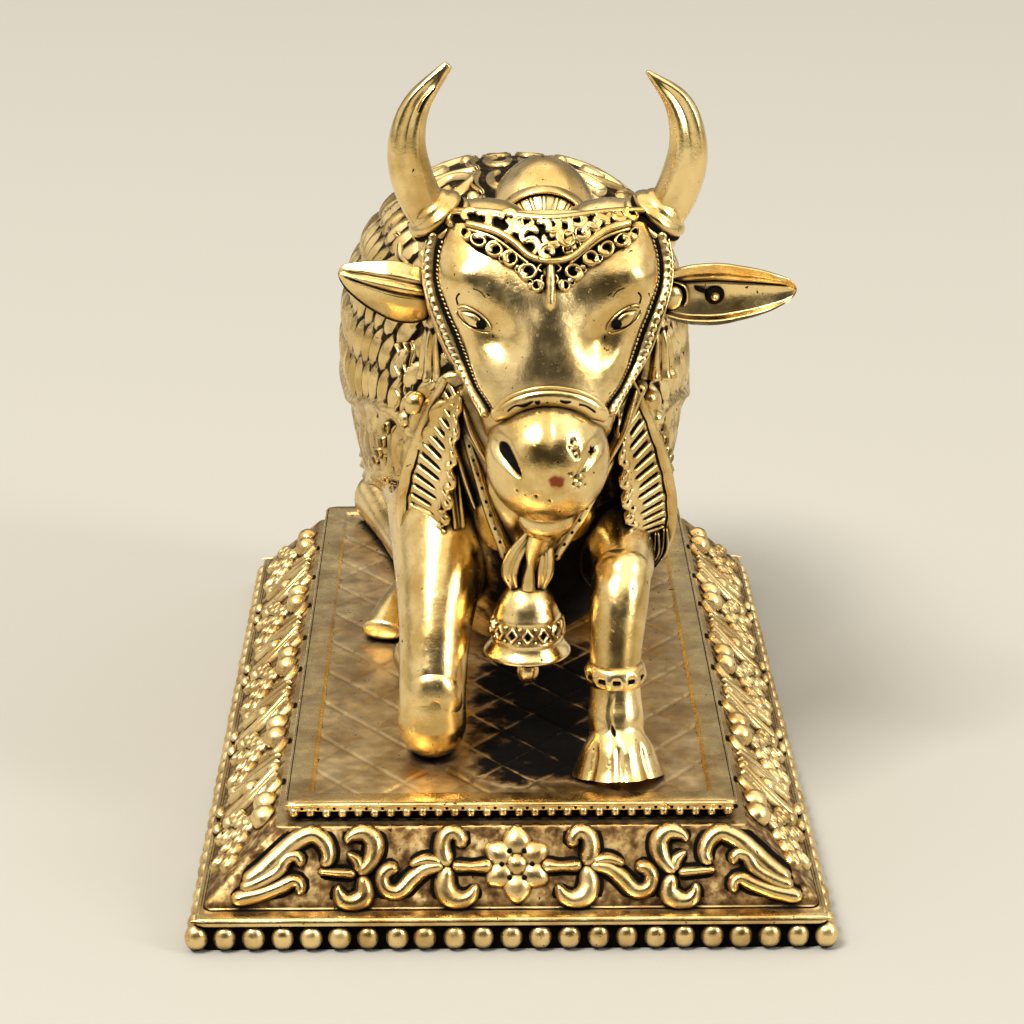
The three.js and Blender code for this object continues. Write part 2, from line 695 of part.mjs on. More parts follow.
// Bell with a flared rim, a hollow mouth and a clapper, hung from the chin
function bell() {
  const shoulder = BELL_RADIUS * 0.76;
  const profile = [
    [0, 1.9], [shoulder - BELL_WALL, 1.2], [BELL_RADIUS - BELL_WALL, 0], [BELL_RADIUS, 0],
    [BELL_RADIUS, 0.5], [shoulder, 1.5], [BELL_RADIUS * 0.69, BELL_HEIGHT - 2.2],
    [BELL_RADIUS * 0.52, BELL_HEIGHT - 0.8], [0, BELL_HEIGHT],
  ].map(([r, z]) => new THREE.Vector2(r, z));
  const foot = spot(1.2, -19, 5.9);
  const cup = new THREE.LatheGeometry(profile, 8);
  cup.rotateX(90 * DEGREE);
  cup.translate(foot.x, foot.y, foot.z);
  const stem = form([[1.2, -19, 5.2, 0.3, 0.3], [1.2, -19, 8.4, 0.3, 0.3]], FRONT);
  const loops = form([
    [1.2, -19, 11, 0.9, 0.9],
    [1.5, -19.2, 12.6, 1.3, 0.8],
    [1.9, -19.5, 14, 1.0, 0.9],
    [2.3, -20.1, 16.4, 1.5, 1.2],
  ], FRONT);
  return [
    toSolid(cup),
    ball(spot(1.2, -19, 5.6), spot(0.7, 0.7, 0.85), 6, 3),
    stem.solid(1, 5),
    loops.solid(3, 5),
  ];
}

// Arched band at the front of the hump
function humpBand() {
  const arch = (s) => (rise) => {
    const turn = (s - 0.5) * 150 * DEGREE;
    return spot(2.5 + Math.sin(turn) * 3.7, -7.6, 32.2 + Math.cos(turn) * 3.6)
      .addScaledVector(FRONT, rise);
  };
  return [ridge(arch, () => STRAP_HALF_WIDTH, 0.8, 2.4, 4)];
}

function bullSolid() {
  const whole = join([
    ...bodyForms(),
    ...muzzle(),
    ...kneelingLeg(),
    ...raisedLeg(),
    ...hindLeg(-1, 10.2),
    ...hindLeg(1, 7.6),
    ...tail(),
    ...horn(-1),
    ...horn(1),
    ...ear(-1, 6.6, 1.5, 0.45),
    ...ear(1, 9.4, 0.3, -0.25),
    ...eye(-1),
    ...eye(1),
    ...headHarness(),
    ...collarWing(-1),
    ...collarWing(1),
    ...neckStrap(-1),
    ...neckStrap(1),
    ...bell(),
    ...humpBand(),
  ]);
  // everything below the plate's field is cut away, so that the figure sits flat
  const below = new THREE.BoxGeometry(PLINTH_LENGTH * 2, PLINTH_LENGTH * 2, PLINTH_HEIGHT * 2);
  below.translate(0, 0, -PLINTH_HEIGHT);
  return whole.subtract(toSolid(below));
}

const plinth = new THREE.Mesh(
  toGeometry(plinthSolid()),
  new THREE.MeshStandardMaterial({ color: 0xb08d45, roughness: 0.42, metalness: 1 }));
plinth.name = 'plinth';

const bull = new THREE.Mesh(
  toGeometry(bullSolid()),
  new THREE.MeshStandardMaterial({ color: 0xcfa64e, roughness: 0.32, metalness: 1 }));
bull.name = 'bull';
bull.position.z = BULL_SEAT;

const figure = new THREE.Group();
figure.add(plinth, bull);

export default figure;
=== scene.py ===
"""Brass bull on a scrolled plinth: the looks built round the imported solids.

Lengths are millimetres until Pile.build turns them into metres. The bull's own heights start at
its seat on the plinth."""

from math import copysign, cos, hypot, pi, radians, sin

import bpy
import numpy as np
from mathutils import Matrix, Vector


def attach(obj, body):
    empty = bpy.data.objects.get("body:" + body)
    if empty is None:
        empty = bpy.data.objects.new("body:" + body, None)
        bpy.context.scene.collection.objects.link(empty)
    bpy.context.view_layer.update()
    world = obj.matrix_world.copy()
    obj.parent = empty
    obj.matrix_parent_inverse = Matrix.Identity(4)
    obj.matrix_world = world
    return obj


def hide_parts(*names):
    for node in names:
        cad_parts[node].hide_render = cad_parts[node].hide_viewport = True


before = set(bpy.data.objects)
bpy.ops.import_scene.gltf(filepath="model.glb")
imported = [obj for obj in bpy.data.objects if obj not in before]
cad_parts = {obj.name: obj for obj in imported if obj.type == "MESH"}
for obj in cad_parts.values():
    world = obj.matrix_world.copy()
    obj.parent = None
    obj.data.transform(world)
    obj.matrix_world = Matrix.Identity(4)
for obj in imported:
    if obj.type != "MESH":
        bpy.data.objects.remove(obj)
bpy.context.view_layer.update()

MM = 0.001
DEG = pi / 180
SEAT = 8.45  # height of the bull's zero on the plinth
FACE = 2.55  # x of the face's middle line
MIDLINE = 1.0  # x midway between the hind legs
BOTH = (-1, 1)  # the two sides, as signs of x
UP = np.array([0.0, 0.0, 1.0])
FRONT = np.array([0.0, -1.0, 0.0])
rng = np.random.default_rng(7)


def unit(v):
    return v / np.maximum(np.linalg.norm(v, axis=-1, keepdims=True), 1e-9)


def around(count):
    return np.linspace(0, 2 * pi, count, endpoint=False)


def clamp(x):
    return np.clip(x, 0, 1)


def bump(x, middle, width):
    return np.exp(-(((x - middle) / width) ** 2))


def smooth(x, low, high):
    w = clamp((x - low) / (high - low))
    return w * w * (3 - 2 * w)


def fade(x, low, high):
    return 1 - smooth(x, low, high)


def turned_degrees(angle):
    """An angle in degrees from -180 to 180, 0 at the form's front."""
    return (np.degrees(angle) + 180) % 360 - 180


def line_at(points, x):
    points = np.array(points, float)
    return np.interp(x, points[:, 0], points[:, 1])


def run_along(points):
    """Distance from the first point to each of the points."""
    steps = np.linalg.norm(np.diff(points, axis=0), axis=1)
    return np.concatenate([[0], np.cumsum(steps)])


def spline(points, t):
    """Point at t, from 0 to 1, on a smooth curve through the points."""
    p = np.asarray(points, float)
    p = np.vstack([2 * p[0] - p[1], p, 2 * p[-1] - p[-2]])
    x = clamp(np.asarray(t, float)) * (len(p) - 3)
    i = np.minimum(x.astype(int), len(p) - 4)
    w = (x - i)[..., None]
    a, b, c, d = p[i], p[i + 1], p[i + 2], p[i + 3]
    m0, m1 = (c - a) / 2, (d - b) / 2
    return (b + m0 * w + (3 * (c - b) - 2 * m0 - m1) * w**2
            + (2 * (b - c) + m0 + m1) * w**3)


class Pile:
    """Faces gathered for one object, with a wear value at each point: 0 in a cut, 1 on a crest,
    and lower where shade is painted in.
    """

    def __init__(self):
        self.points, self.wear, self.quads, self.count = [], [], [], 0

    def grid(self, points, wear, closed=True, inward=False):
        """Adds rows of points. closed joins the ends of each row."""
        n, m = points.shape[:2]
        index = np.arange(n * m).reshape(n, m)
        if closed:
            index = np.concatenate([index, index[:, :1]], 1)
        quads = np.stack([index[:-1, :-1], index[1:, :-1], index[1:, 1:], index[:-1, 1:]], -1)
        quads = quads.reshape(-1, 4)
        flat = points.reshape(-1, 3)
        a, b, c, d = (flat[quads[:, k]] for k in range(4))
        outward = np.einsum("ij,ij->", np.cross(c - a, d - b),
                            (a + b + c + d) / 4 - flat.mean(0)) >= 0
        if outward == inward:
            quads = quads[:, ::-1]
        self.points.append(flat)
        self.wear.append(np.broadcast_to(wear, (n, m)).reshape(-1))
        self.quads.append(quads + self.count)
        self.count += len(flat)

    def build(self, name, material, node, lift=0.0):
        points = (np.concatenate(self.points) + [0, 0, lift]) * MM
        quads = np.concatenate(self.quads).astype(np.int32)
        mesh = bpy.data.meshes.new(name)
        mesh.vertices.add(len(points))
        mesh.vertices.foreach_set("co", points.astype(np.float32).ravel())
        mesh.loops.add(quads.size)
        mesh.loops.foreach_set("vertex_index", quads.ravel())
        mesh.polygons.add(len(quads))
        mesh.polygons.foreach_set("loop_start", np.arange(0, quads.size, 4, dtype=np.int32))
        mesh.polygons.foreach_set("use_smooth", np.ones(len(quads), bool))
        mesh.update(calc_edges=True)
        wear = mesh.attributes.new("wear", "FLOAT", "POINT")
        wear.data.foreach_set("value", np.concatenate(self.wear).astype(np.float32))
        mesh.materials.append(material)
        piece = bpy.data.objects.new(name, mesh)
        bpy.context.scene.collection.objects.link(piece)
        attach(piece, "root")
        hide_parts(node)
        print(name, 2 * len(quads), "triangles")


class Form:
    """A rounded form swept through [x, y, z, half width, half depth] stations."""

    def __init__(self, stations, lead, roundness=2.0, taper=0.0):
        self.stations = np.array(stations, float)
        self.lead, self.roundness, self.taper = lead, roundness, taper

    def at(self, t, angle, rise=0.0, scale=1.0, push=0.0):
        """Point at t along the form and angle round it, raised by rise."""
        t, angle, rise, scale = np.broadcast_arrays(t, angle, rise, scale)
        here = spline(self.stations, t)
        ahead = spline(self.stations[:, :3], clamp(t + 1e-3))
        behind = spline(self.stations[:, :3], clamp(t - 1e-3))
        tangent = unit(ahead - behind)
        forward = unit(self.lead - tangent * (tangent @ self.lead)[..., None])
        side = np.cross(tangent, forward)
        c, s = np.cos(angle), np.sin(angle)
        n = self.roundness
        reach = (np.abs(c) ** n + np.abs(s) ** n) ** (-1 / n)
        wide = here[..., 3] * (1 + self.taper * c * reach) * scale
        deep = here[..., 4] * scale
        normal = unit(np.stack([s / here[..., 3], c / here[..., 4]], -1))
        return (here[..., :3]
                + side * (wide * reach * s + rise * normal[..., 0])[..., None]
                + forward * (deep * reach * c + rise * normal[..., 1])[..., None]
                + tangent * push)

    def skin(self, pile, steps, sides, rise=None, wear=0.75, top=1, open_foot=False, dome=0.45,
             cap_wear=None):
        """Skins the form up to top with a rounded cap at each end. rise and wear may be
        functions of t and angle, and dome is a cap's height as a share of its half width."""
        angle = around(sides)[None, :]
        t = np.linspace(0, top, steps)[:, None]
        height = rise(t, angle) if rise else np.zeros((steps, sides))
        shade = np.broadcast_to(wear(t, angle) if callable(wear) else wear, (steps, sides))
        rings, shades = [self.at(t, angle, height)], [shade]
        size = min(self.stations[0, 3:].min(), self.stations[-1, 3:].min())
        turns = np.linspace(12, 88, 6) * DEG
        for end, sign in ((0, -1), (top, 1)):
            if open_foot and sign < 0:
                continue
            row = 0 if sign < 0 else -1
            cap = np.stack([self.at(end, angle[0], height[row] * cos(w), cos(w),
                                    sign * sin(w) * size * dome) for w in turns])
            tone = np.repeat(shade[row][None, :], len(turns), 0)
            if cap_wear is not None:
                tone = np.full_like(tone, cap_wear)
            if sign < 0:
                rings.insert(0, cap[::-1])
                shades.insert(0, tone)
            else:
                rings.append(cap)
                shades.append(tone)
        pile.grid(np.concatenate(rings), np.concatenate(shades))


def ellipsoid(pile, middle, radii, rows=24, sides=36, rise=None, wear=0.75):
    """Ellipsoid with its axis upright. rise and wear may be functions of the direction."""
    theta = np.linspace(1.5, 178.5, rows)[:, None] * DEG
    phi = around(sides)[None, :]
    way = np.stack([np.sin(theta) * np.cos(phi), np.sin(theta) * np.sin(phi),
                    np.cos(theta) + 0 * phi], -1)
    radii = np.array(radii, float)
    points = np.array(middle, float) + way * radii
    if rise is not None:
        points = points + unit(way / radii) * rise(way)[..., None]
    pile.grid(points, wear(way) if callable(wear) else wear)


def section(u, kind):
    """Height of a stroke across its width, for u from -1 to 1."""
    arch = np.sqrt(clamp(1 - u * u))
    return {
        "round": arch,
        "rim": arch**0.7 * (1 - 0.42 * bump(u, 0, 0.42)),
        "worn": arch**0.75 * (1 - 0.2 * bump(u, 0.1, 0.3)),
        "crease": arch**0.8 * (1 - 0.6 * bump(u, 0, 0.16)),
        "flat": clamp(1 - np.abs(u) ** 5),
    }[kind]


def stroke(pile, patch, path, width, height, kind="round", sides=9, density=6.0, base=0.2,
           twist=0.0, tips=0.6, tone=1.0, edge=0.0, within=None):
    """A raised line along path, points in the patch's own two coordinates.

    width may list several half widths, spread evenly along it. base is how far it reaches
    under the surface, twist a rope's pitch, and tips the length of its rounded ends in half
    widths. edge is the width of a black line left round the stroke, and within its lowest and
    highest place on the patch."""
    if edge:
        stroke(pile, patch, path, np.array(width) + edge, 0.04, "flat", 5, density / 1.5, 0.1,
               tone=0, tips=tips)
    fine = spline(path, np.linspace(0, 1, 24 * len(path)))
    run = run_along(fine)
    steps = max(4, int(run[-1] * density))
    where = np.linspace(0, run[-1], steps + 1)
    line = np.stack([np.interp(where, run, fine[:, k]) for k in range(2)], -1)
    along = unit(np.gradient(line, axis=0))
    across = np.stack([-along[:, 1], along[:, 0]], -1)
    widths = np.atleast_1d(np.asarray(width, float))
    half = np.interp(where / run[-1], np.linspace(0, 1, len(widths)), widths)
    reach = np.minimum(half * tips, run[-1] / 3) + 1e-6
    near = np.minimum(np.minimum(where, run[-1] - where) / reach, 1)
    taper = np.sqrt(clamp(1 - (1 - near) ** 2))
    half = half * np.maximum(taper, 0.06)
    u = np.linspace(-1, 1, sides)
    profile = section(u, kind)[None, :] * np.ones((steps + 1, 1))
    if twist:
        phase = where[:, None] / twist + 0.35 * u[None, :]
        profile = profile * (0.72 + 0.28 * np.abs(np.sin(pi * phase)))
    h = (height + base) * profile * (0.35 + 0.65 * taper[:, None]) - base
    spots = line[:, None, :] + across[:, None, :] * (u[None, :, None] * half[:, None, None])
    if within:
        spots[..., 1] = np.clip(spots[..., 1], *within)
    pile.grid(patch(spots[..., 0], spots[..., 1], h), tone * clamp(profile * 1.25 - 0.15),
              closed=False)


def dome(pile, patch, middle, radii, height, kind="round", turn=0.0, outline=None, rings=7,
         sides=18, base=0.15, lift=0.0):
    """A raised spot on a patch: round, rim (a sunk middle), ring (a hole) or pit (all dark)."""
    r = np.linspace(0.02, 1, rings)[:, None]
    a = around(sides)[None, :]
    shape = outline(a) if outline else 1.0
    x, y = r * radii[0] * np.cos(a) * shape, r * radii[1] * np.sin(a) * shape
    c, s = cos(turn), sin(turn)
    fall = np.sqrt(clamp(1 - r**2)) + 0 * a
    wear = clamp(1.3 * fall)
    if kind == "rim":
        fall = clamp(1 - r**6) * (0.45 + 0.55 * bump(r, 0.74, 0.26)) + 0 * a
        wear = clamp(0.35 + 0.65 * bump(r, 0.72, 0.22)) * clamp(1.2 - r**8) + 0 * a
    if kind == "ring":
        fall = bump(r, 0.68, 0.27) + 0 * a
        wear = smooth(r, 0.3, 0.55) * clamp(1.4 - r**4) + 0 * a
    if kind == "pit":
        wear = np.zeros_like(fall)
    h = lift + (height + base) * fall - base
    pile.grid(patch(middle[0] + c * x - s * y, middle[1] + s * x + c * y, h), wear)


# ---------------------------------------------------------------- materials

class Graph:
    """Nodes of one material or world. An input takes a number, a colour or another's output."""

    def __init__(self, owner):
        self.tree = owner.node_tree

    def plug(self, socket, value):
        if hasattr(value, "links"):
            self.tree.links.new(value, socket)
        else:
            socket.default_value = value

    def add(self, kind, **inputs):
        made = self.tree.nodes.new("ShaderNode" + kind)
        for name, value in inputs.items():
            self.plug(made.inputs[name], value)
        return made

    def math(self, operation, a, b=None, clamped=False):
        made = self.add("Math")
        made.operation, made.use_clamp = operation, clamped
        self.plug(made.inputs[0], a)
        if b is not None:
            self.plug(made.inputs[1], b)
        return made.outputs[0]

    def ramp(self, source, low, high):
        """Smooth step from 0 at low to 1 at high."""
        made = self.add("MapRange")
        made.interpolation_type = "SMOOTHSTEP"
        for socket, value in enumerate((source, low, high)):
            self.plug(made.inputs[socket], value)
        return made.outputs[0]

    def spread(self, source, start, end):
        """start where the source is 0, end where it is 1."""
        made = self.add("MapRange")
        for socket, value in ((0, source), (3, start), (4, end)):
            self.plug(made.inputs[socket], value)
        return made.outputs[0]

    def mixed(self, a, b, factor):
        made = self.add("Mix")
        made.data_type = "RGBA"
        for socket, value in ((0, factor), (6, a), (7, b)):
            self.plug(made.inputs[socket], value)
        return made.outputs[2]

    def noise(self, place, scale, detail=4.0, roughness=0.6):
        return self.add("TexNoise", Vector=place, Scale=scale, Detail=detail,
                        Roughness=roughness).outputs["Fac"]


BLACK = (0.010, 0.009, 0.008, 1)
UMBER = (0.15, 0.082, 0.028, 1)
TARNISH = (0.46, 0.2, 0.05, 1)
RED_BROWN = (0.26, 0.06, 0.03, 1)


def brass(name, light, deep, rough, grain, tarnish, stain=None):
    """Antique brass: bright where it is rubbed, black in the cuts, with cloudy tarnish, and
    darkened where painted shade is laid into the wear attribute.

    light and deep are its two tones, rough and grain the least roughness and its spread,
    tarnish the strength of the brown clouds, and stain a red-brown spot's place in metres."""
    material = bpy.data.materials.new(name)
    material.use_nodes = True
    graph = Graph(material)
    shader = material.node_tree.nodes["Principled BSDF"]
    shader.inputs["Metallic"].default_value = 1.0
    place = graph.add("TexCoord").outputs["Object"]

    def noise(scale, *shape):
        return graph.noise(place, scale, *shape)

    def both(a, b, operation="MULTIPLY"):
        return graph.math(operation, a, b, clamped=True)

    # the wear attribute: low in the cuts for patina, and also lowered in places as painted shade
    worn = graph.add("Attribute")
    worn.attribute_name = "wear"
    hollow = graph.add("AmbientOcclusion", Distance=0.9 * MM)
    hollow.samples = 6
    mottle = noise(1100, 3)
    rubbed_and_unshaded = graph.ramp(both(both(mottle, 0.35), worn.outputs["Fac"], "ADD"), 0.3, 0.62)
    specks = graph.ramp(noise(3000, 2, 0.5), 0.23, 0.33)
    bright = both(both(graph.ramp(hollow.outputs["AO"], 0.42, 0.86), rubbed_and_unshaded), specks)

    tone = graph.mixed(deep, light, graph.ramp(noise(240, 5), 0.36, 0.62))
    tone = graph.mixed(tone, TARNISH, both(graph.ramp(noise(150, 3), 0.6, 0.78), tarnish))
    tone = graph.mixed(UMBER, tone, graph.ramp(bright, 0.3, 0.85))
    colour = graph.mixed(BLACK, tone, graph.ramp(bright, 0.0, 0.4))
    if stain:
        away = graph.add("VectorMath")
        away.operation = "DISTANCE"
        graph.plug(away.inputs[0], place)
        graph.plug(away.inputs[1], stain)
        ragged = both(both(away.outputs["Value"], 600.0), both(mottle, 0.9), "ADD")
        colour = graph.mixed(RED_BROWN, colour, graph.ramp(ragged, 0.6, 0.85))
    graph.plug(shader.inputs["Base Color"], colour)

    haze = graph.spread(graph.ramp(noise(700, 4), 0.3, 0.8), rough, rough + grain)
    graph.plug(shader.inputs["Roughness"], both(haze, graph.spread(bright, 0.62, 0.0), "ADD"))
    waves = graph.add("Bump", Strength=0.3, Distance=0.22 * MM, Height=noise(330, 2, 0.5))
    pits = graph.add("Bump", Strength=0.4, Distance=0.05 * MM, Height=noise(2600, 5, 0.7),
                     Normal=waves.outputs["Normal"])
    graph.plug(shader.inputs["Normal"], pits.outputs["Normal"])
    return material


MUZZLE_SPOT = (0.003, -0.02535, 0.0292)
bull_brass = brass("bull_brass", (0.9, 0.68, 0.31, 1), (0.6, 0.4, 0.13, 1), 0.13, 0.2, 0.5,
                   MUZZLE_SPOT)
plinth_brass = brass("plinth_brass", (0.88, 0.66, 0.3, 1), (0.55, 0.36, 0.13, 1), 0.17, 0.22,
                     0.4)
plate_brass = brass("plate_brass", (0.64, 0.49, 0.26, 1), (0.4, 0.27, 0.12, 1), 0.3, 0.25, 0.2)

# ---------------------------------------------------------------- plinth

WIDTH, LENGTH, HEIGHT = 42.0, 67.4, 8.6
PLATE = np.array([6.4, 4.6])
PANEL_FOOT, PANEL_TOP = 2.85, 7.2
FOOT_INSET = 1.75
END_INSET = 1.2
RUNS = PLATE - 0.7 - FOOT_INSET
LIP = 1.95


def turned(points, quarter):
    """Points turned by quarter turns, from the front end of the plinth."""
    c, s = ((1, 0), (0, 1), (-1, 0), (0, -1))[quarter]
    x, y = points[..., 0], points[..., 1]
    return np.stack([c * x - s * y, s * x + c * y, points[..., 2]], -1)


def panel(quarter):
    """Patch on one sloping panel: along, up the slope, out from the face. Gives its slope too."""
    half = (LENGTH if quarter % 2 == 0 else WIDTH) / 2
    start = FOOT_INSET if quarter % 2 == 0 else END_INSET
    run = RUNS[1 - quarter % 2] + FOOT_INSET - start
    rise = PANEL_TOP - PANEL_FOOT
    slope = hypot(run, rise)

    def place(along, up, out):
        away = half - start - run * up / slope + out * rise / slope
        z = PANEL_FOOT + rise * up / slope + out * run / slope
        return turned(np.stack([along + 0 * away, -away, z + 0 * along], -1), quarter)

    return place, slope


def plinth_body(pile):
    """The moulded block: one profile carried round with slightly rounded corners."""
    # insets from the sides and from the ends, then the height
    profile = [
        (0.9, 0.9, 0.02), (0.84, 0.84, 0.0), (0.80, 0.80, 0.06), (0.78, 0.78, LIP - 0.06),
        (0.76, 0.6, LIP), (0.7, 0.2, LIP + 0.02), (0.62, 0.12, LIP + 0.1), (0.62, 0.12, 2.34),
        (0.66, 0.18, 2.42), (0.76, 0.32, 2.46), (0.95, 0.9, 2.47), (1.1, 1.6, 2.44),
        (1.14, 1.72, 2.5), (1.15, 1.75, 2.56), (END_INSET, FOOT_INSET, PANEL_FOOT),
    ]
    for share in np.linspace(0.03, 0.97, 9):
        profile.append((END_INSET + (RUNS[0] + FOOT_INSET - END_INSET) * share,
                        FOOT_INSET + RUNS[1] * share,
                        PANEL_FOOT + (PANEL_TOP - PANEL_FOOT) * share))
    # offsets from the plate's edge, then the height
    for off, z in ((-0.7, 7.18), (-0.5, 7.22), (0.3, 7.24), (0.48, 7.3), (0.5, 7.9),
                   (0.45, 7.95), (0.1, 7.95), (0.02, 8.0), (0, 8.06), (0, 8.48), (0.04, 8.56),
                   (0.14, 8.6), (0.8, 8.6), (1.44, 8.6), (1.52, 8.59), (1.66, 8.47),
                   (1.74, 8.45)):
        profile.append((*(PLATE + off), z))
    turns = np.concatenate([np.linspace(q * 90 + 4, q * 90 + 86, 5) for q in range(4)]) * DEG
    rings, wears = [], []
    for x_in, y_in, z in profile:
        radius = 0.75 if z < 2.5 else 0.4
        hx, hy = WIDTH / 2 - x_in - radius, LENGTH / 2 - y_in - radius
        corners = np.array([(copysign(hx, cos(a)) + radius * cos(a),
                             copysign(hy, sin(a)) + radius * sin(a), z) for a in turns])
        ring = []
        for here, ahead in zip(corners, np.roll(corners, -1, 0)):
            count = 40 if np.linalg.norm(ahead - here) > 5 else 1
            ring += [here * (1 - w) + ahead * w for w in np.arange(count) / count]
        rings.append(ring)
        sunk = z < LIP + 0.01 or 7.25 < z < 8.02 or 2.43 < z < 2.5 and x_in > 1
        wears.append(0.0 if sunk else (0.27 if 2.5 < z < 7.2 else 0.9))
    rings = np.array(rings)
    pile.grid(rings, np.array(wears)[:, None])
    foot = rings[1]
    pile.grid(np.stack([foot, foot * [0.5, 0.5, 1], foot * [0.01, 0.01, 1]]), 0.3)


def plinth_trim(pile):
    """Beads round the foot, teeth and rope round the plate, cord along the lip."""
    pitch, radius, middle, swell = 1.83, 0.7, 0.975, 1.1
    tooth = 1.06

    def squared(a):
        return (np.cos(a) ** 4 + np.sin(a) ** 4) ** -0.25

    def bead_wear(way):
        return clamp(0.25 + 1.1 * (1 - np.abs(way[..., 2]) ** 3))

    for quarter in range(4):
        at_end = quarter % 2 == 0
        half, side = (LENGTH / 2, WIDTH / 2) if at_end else (WIDTH / 2, LENGTH / 2)
        reach = side - radius
        count = round(2 * reach / pitch)
        for i in range(count):
            squash = 1 + rng.normal(0, 0.035)
            sink = min(rng.normal(0, 0.02), 0)
            x = -reach + 2 * reach * i / count + rng.normal(0, 0.03)
            spot = turned(np.array([x, radius + 0.02 - half, middle]), quarter)
            ellipsoid(pile, spot,
                      (radius * swell * squash, radius * squash, middle - 0.06 + sink),
                      12, 16, wear=bead_wear)

        edge = half - PLATE[1 - quarter % 2]
        length = side - PLATE[quarter % 2]

        def rim(u, v, h):
            return turned(np.stack([u, -(edge + h), 8.0 + v], -1), quarter)

        def ledge(u, v, h):
            inset = 0.32 if at_end else 0.82
            return turned(np.stack([u, -(half - inset - v), 2.36 + h], -1), quarter)

        if at_end:
            count = round(2 * length / tooth)
            for i in range(count):
                x = -length + (i + 0.5) * 2 * length / count
                dome(pile, rim, (x, -0.12 + rng.normal(0, 0.02)), (0.34, 0.42), 0.14, base=0.45,
                     rings=6, sides=14, outline=squared)
                dome(pile, rim, (x + length / count, 0.2), (0.15, 0.17), 0.03, "pit", rings=4,
                     sides=10, base=0.05)
        else:
            stroke(pile, rim, [(-length + 0.2, 0.06), (length - 0.2, 0.06)], 0.2, 0.14,
                   twist=0.62, sides=7, density=9, base=0.1)
        stroke(pile, rim, [(-length, 0.43), (length, 0.43)], 0.17, 0.13, density=1.5, base=0.1,
               tips=0.1)
        stroke(pile, ledge, [(-reach - 0.3, 0), (reach + 0.3, 0)], 0.22, 0.16, sides=7,
               density=1.5, base=0.1, tips=0.1)


# strokes on the right half of the front panel: millimetres from the flower, shares of the slope,
# then the half widths along each
END_STROKES = [
    ([(1.5, 0.5), (2.5, 0.47), (4.3, 0.48)], (0.42, 0.24, 0.34)),
    ([(4.42, 0.45), (4.8, 0.67), (4.66, 0.87), (4.03, 0.93), (3.63, 0.82), (4.0, 0.74)],
     (0.4, 0.5, 0.46, 0.44, 0.42, 0.34)),
    ([(4.4, 0.5), (4.68, 0.24), (4.3, 0.07), (3.55, 0.03), (2.95, 0.1), (2.6, 0.25)],
     (0.34, 0.52, 0.6, 0.56, 0.4, 0.14)),
    ([(4.62, 0.48), (5.87, 0.45), (6.76, 0.32), (7.64, 0.15), (8.45, 0.18), (8.7, 0.35),
      (8.2, 0.45), (7.6, 0.42)], (0.3, 0.38, 0.42, 0.44, 0.42, 0.4, 0.42, 0.36)),
    ([(4.76, 0.52), (5.87, 0.56), (7.02, 0.49)], (0.3, 0.36, 0.16)),
    ([(10.27, 0.36), (9.4, 0.57), (9.2, 0.8), (9.85, 0.93), (10.74, 0.88), (11.0, 0.77)],
     (0.32, 0.42, 0.52, 0.5, 0.4, 0.12)),
    ([(10.22, 0.38), (10.29, 0.55), (11.0, 0.67)], (0.3, 0.32, 0.1)),
    ([(10.07, 0.38), (9.8, 0.15), (10.29, 0.02), (11.1, 0.02), (11.52, 0.15), (11.45, 0.26)],
     (0.3, 0.46, 0.58, 0.54, 0.38, 0.1)),
    ([(10.29, 0.38), (11.62, 0.4), (12.88, 0.42)], (0.26, 0.22, 0.16)),
    ([(12.51, 0.46), (12.14, 0.62), (12.4, 0.8), (13.2, 0.91), (14.3, 0.82), (15.31, 0.64),
      (16.49, 0.42), (17.7, 0.26)], (0.3, 0.4, 0.46, 0.48, 0.5, 0.5, 0.5, 0.4)),
    ([(13.98, 0.47), (14.13, 0.61), (14.87, 0.6), (15.46, 0.42), (16.64, 0.28), (17.9, 0.18)],
     (0.24, 0.36, 0.4, 0.4, 0.44, 0.4)),
    ([(14.06, 0.1), (13.98, 0.24), (14.45, 0.3), (15.31, 0.22), (16.49, 0.13), (17.9, 0.06),
      (18.4, 0.0)], (0.2, 0.34, 0.4, 0.38, 0.42, 0.46, 0.4)),
]
REAR_STROKES = END_STROKES[3:8]


def flower(pile, patch, slope):
    """Six rimmed petals with six dark holes round a round heart."""
    heart = (0, slope / 2)
    dome(pile, patch, heart, (2.2, 2.5), 0.05, "pit", rings=4, sides=32)
    for k in range(6):
        a = (90 + 60 * k) * DEG
        far, long, wide = (1.42, 0.95, 0.92) if k % 3 == 0 else (1.24, 0.9, 0.88)
        dome(pile, patch, (cos(a) * far, slope / 2 + sin(a) * far), (long * 1.05, wide * 1.08),
             0.56, turn=a, outline=lambda w: 1 + 0.22 * clamp(np.cos(w)) ** 9, rings=10,
             sides=28)
        b = a + 30 * DEG
        dome(pile, patch, (cos(b) * 0.98, slope / 2 + sin(b) * 0.98), (0.18, 0.18), 0.1, "pit",
             lift=0.5, rings=4, sides=12)
    dome(pile, patch, heart, (0.86, 0.86), 0.66, rings=8, sides=24)


def end_relief(pile, quarter, strokes):
    """Scrolls on both sides of a flower, each with a black line round it."""
    place, slope = panel(quarter)
    shift = 0.35 if quarter == 0 else 0.0

    def patch(u, v, h):
        return place(u + shift, v, h)

    flower(pile, patch, slope)
    for hand in BOTH:
        for points, widths in strokes:
            path = [(hand * x, y * slope) for x, y in points]
            wide = np.array(widths) * 1.26
            stroke(pile, patch, path, wide + 0.06, 0.66, sides=13, density=5, tips=1.0)
            stroke(pile, patch, path, wide + 0.34, 0.05, "flat", 9, 4, tone=0, base=0.02,
                   tips=1.0, within=(0.05 * slope, 0.95 * slope))


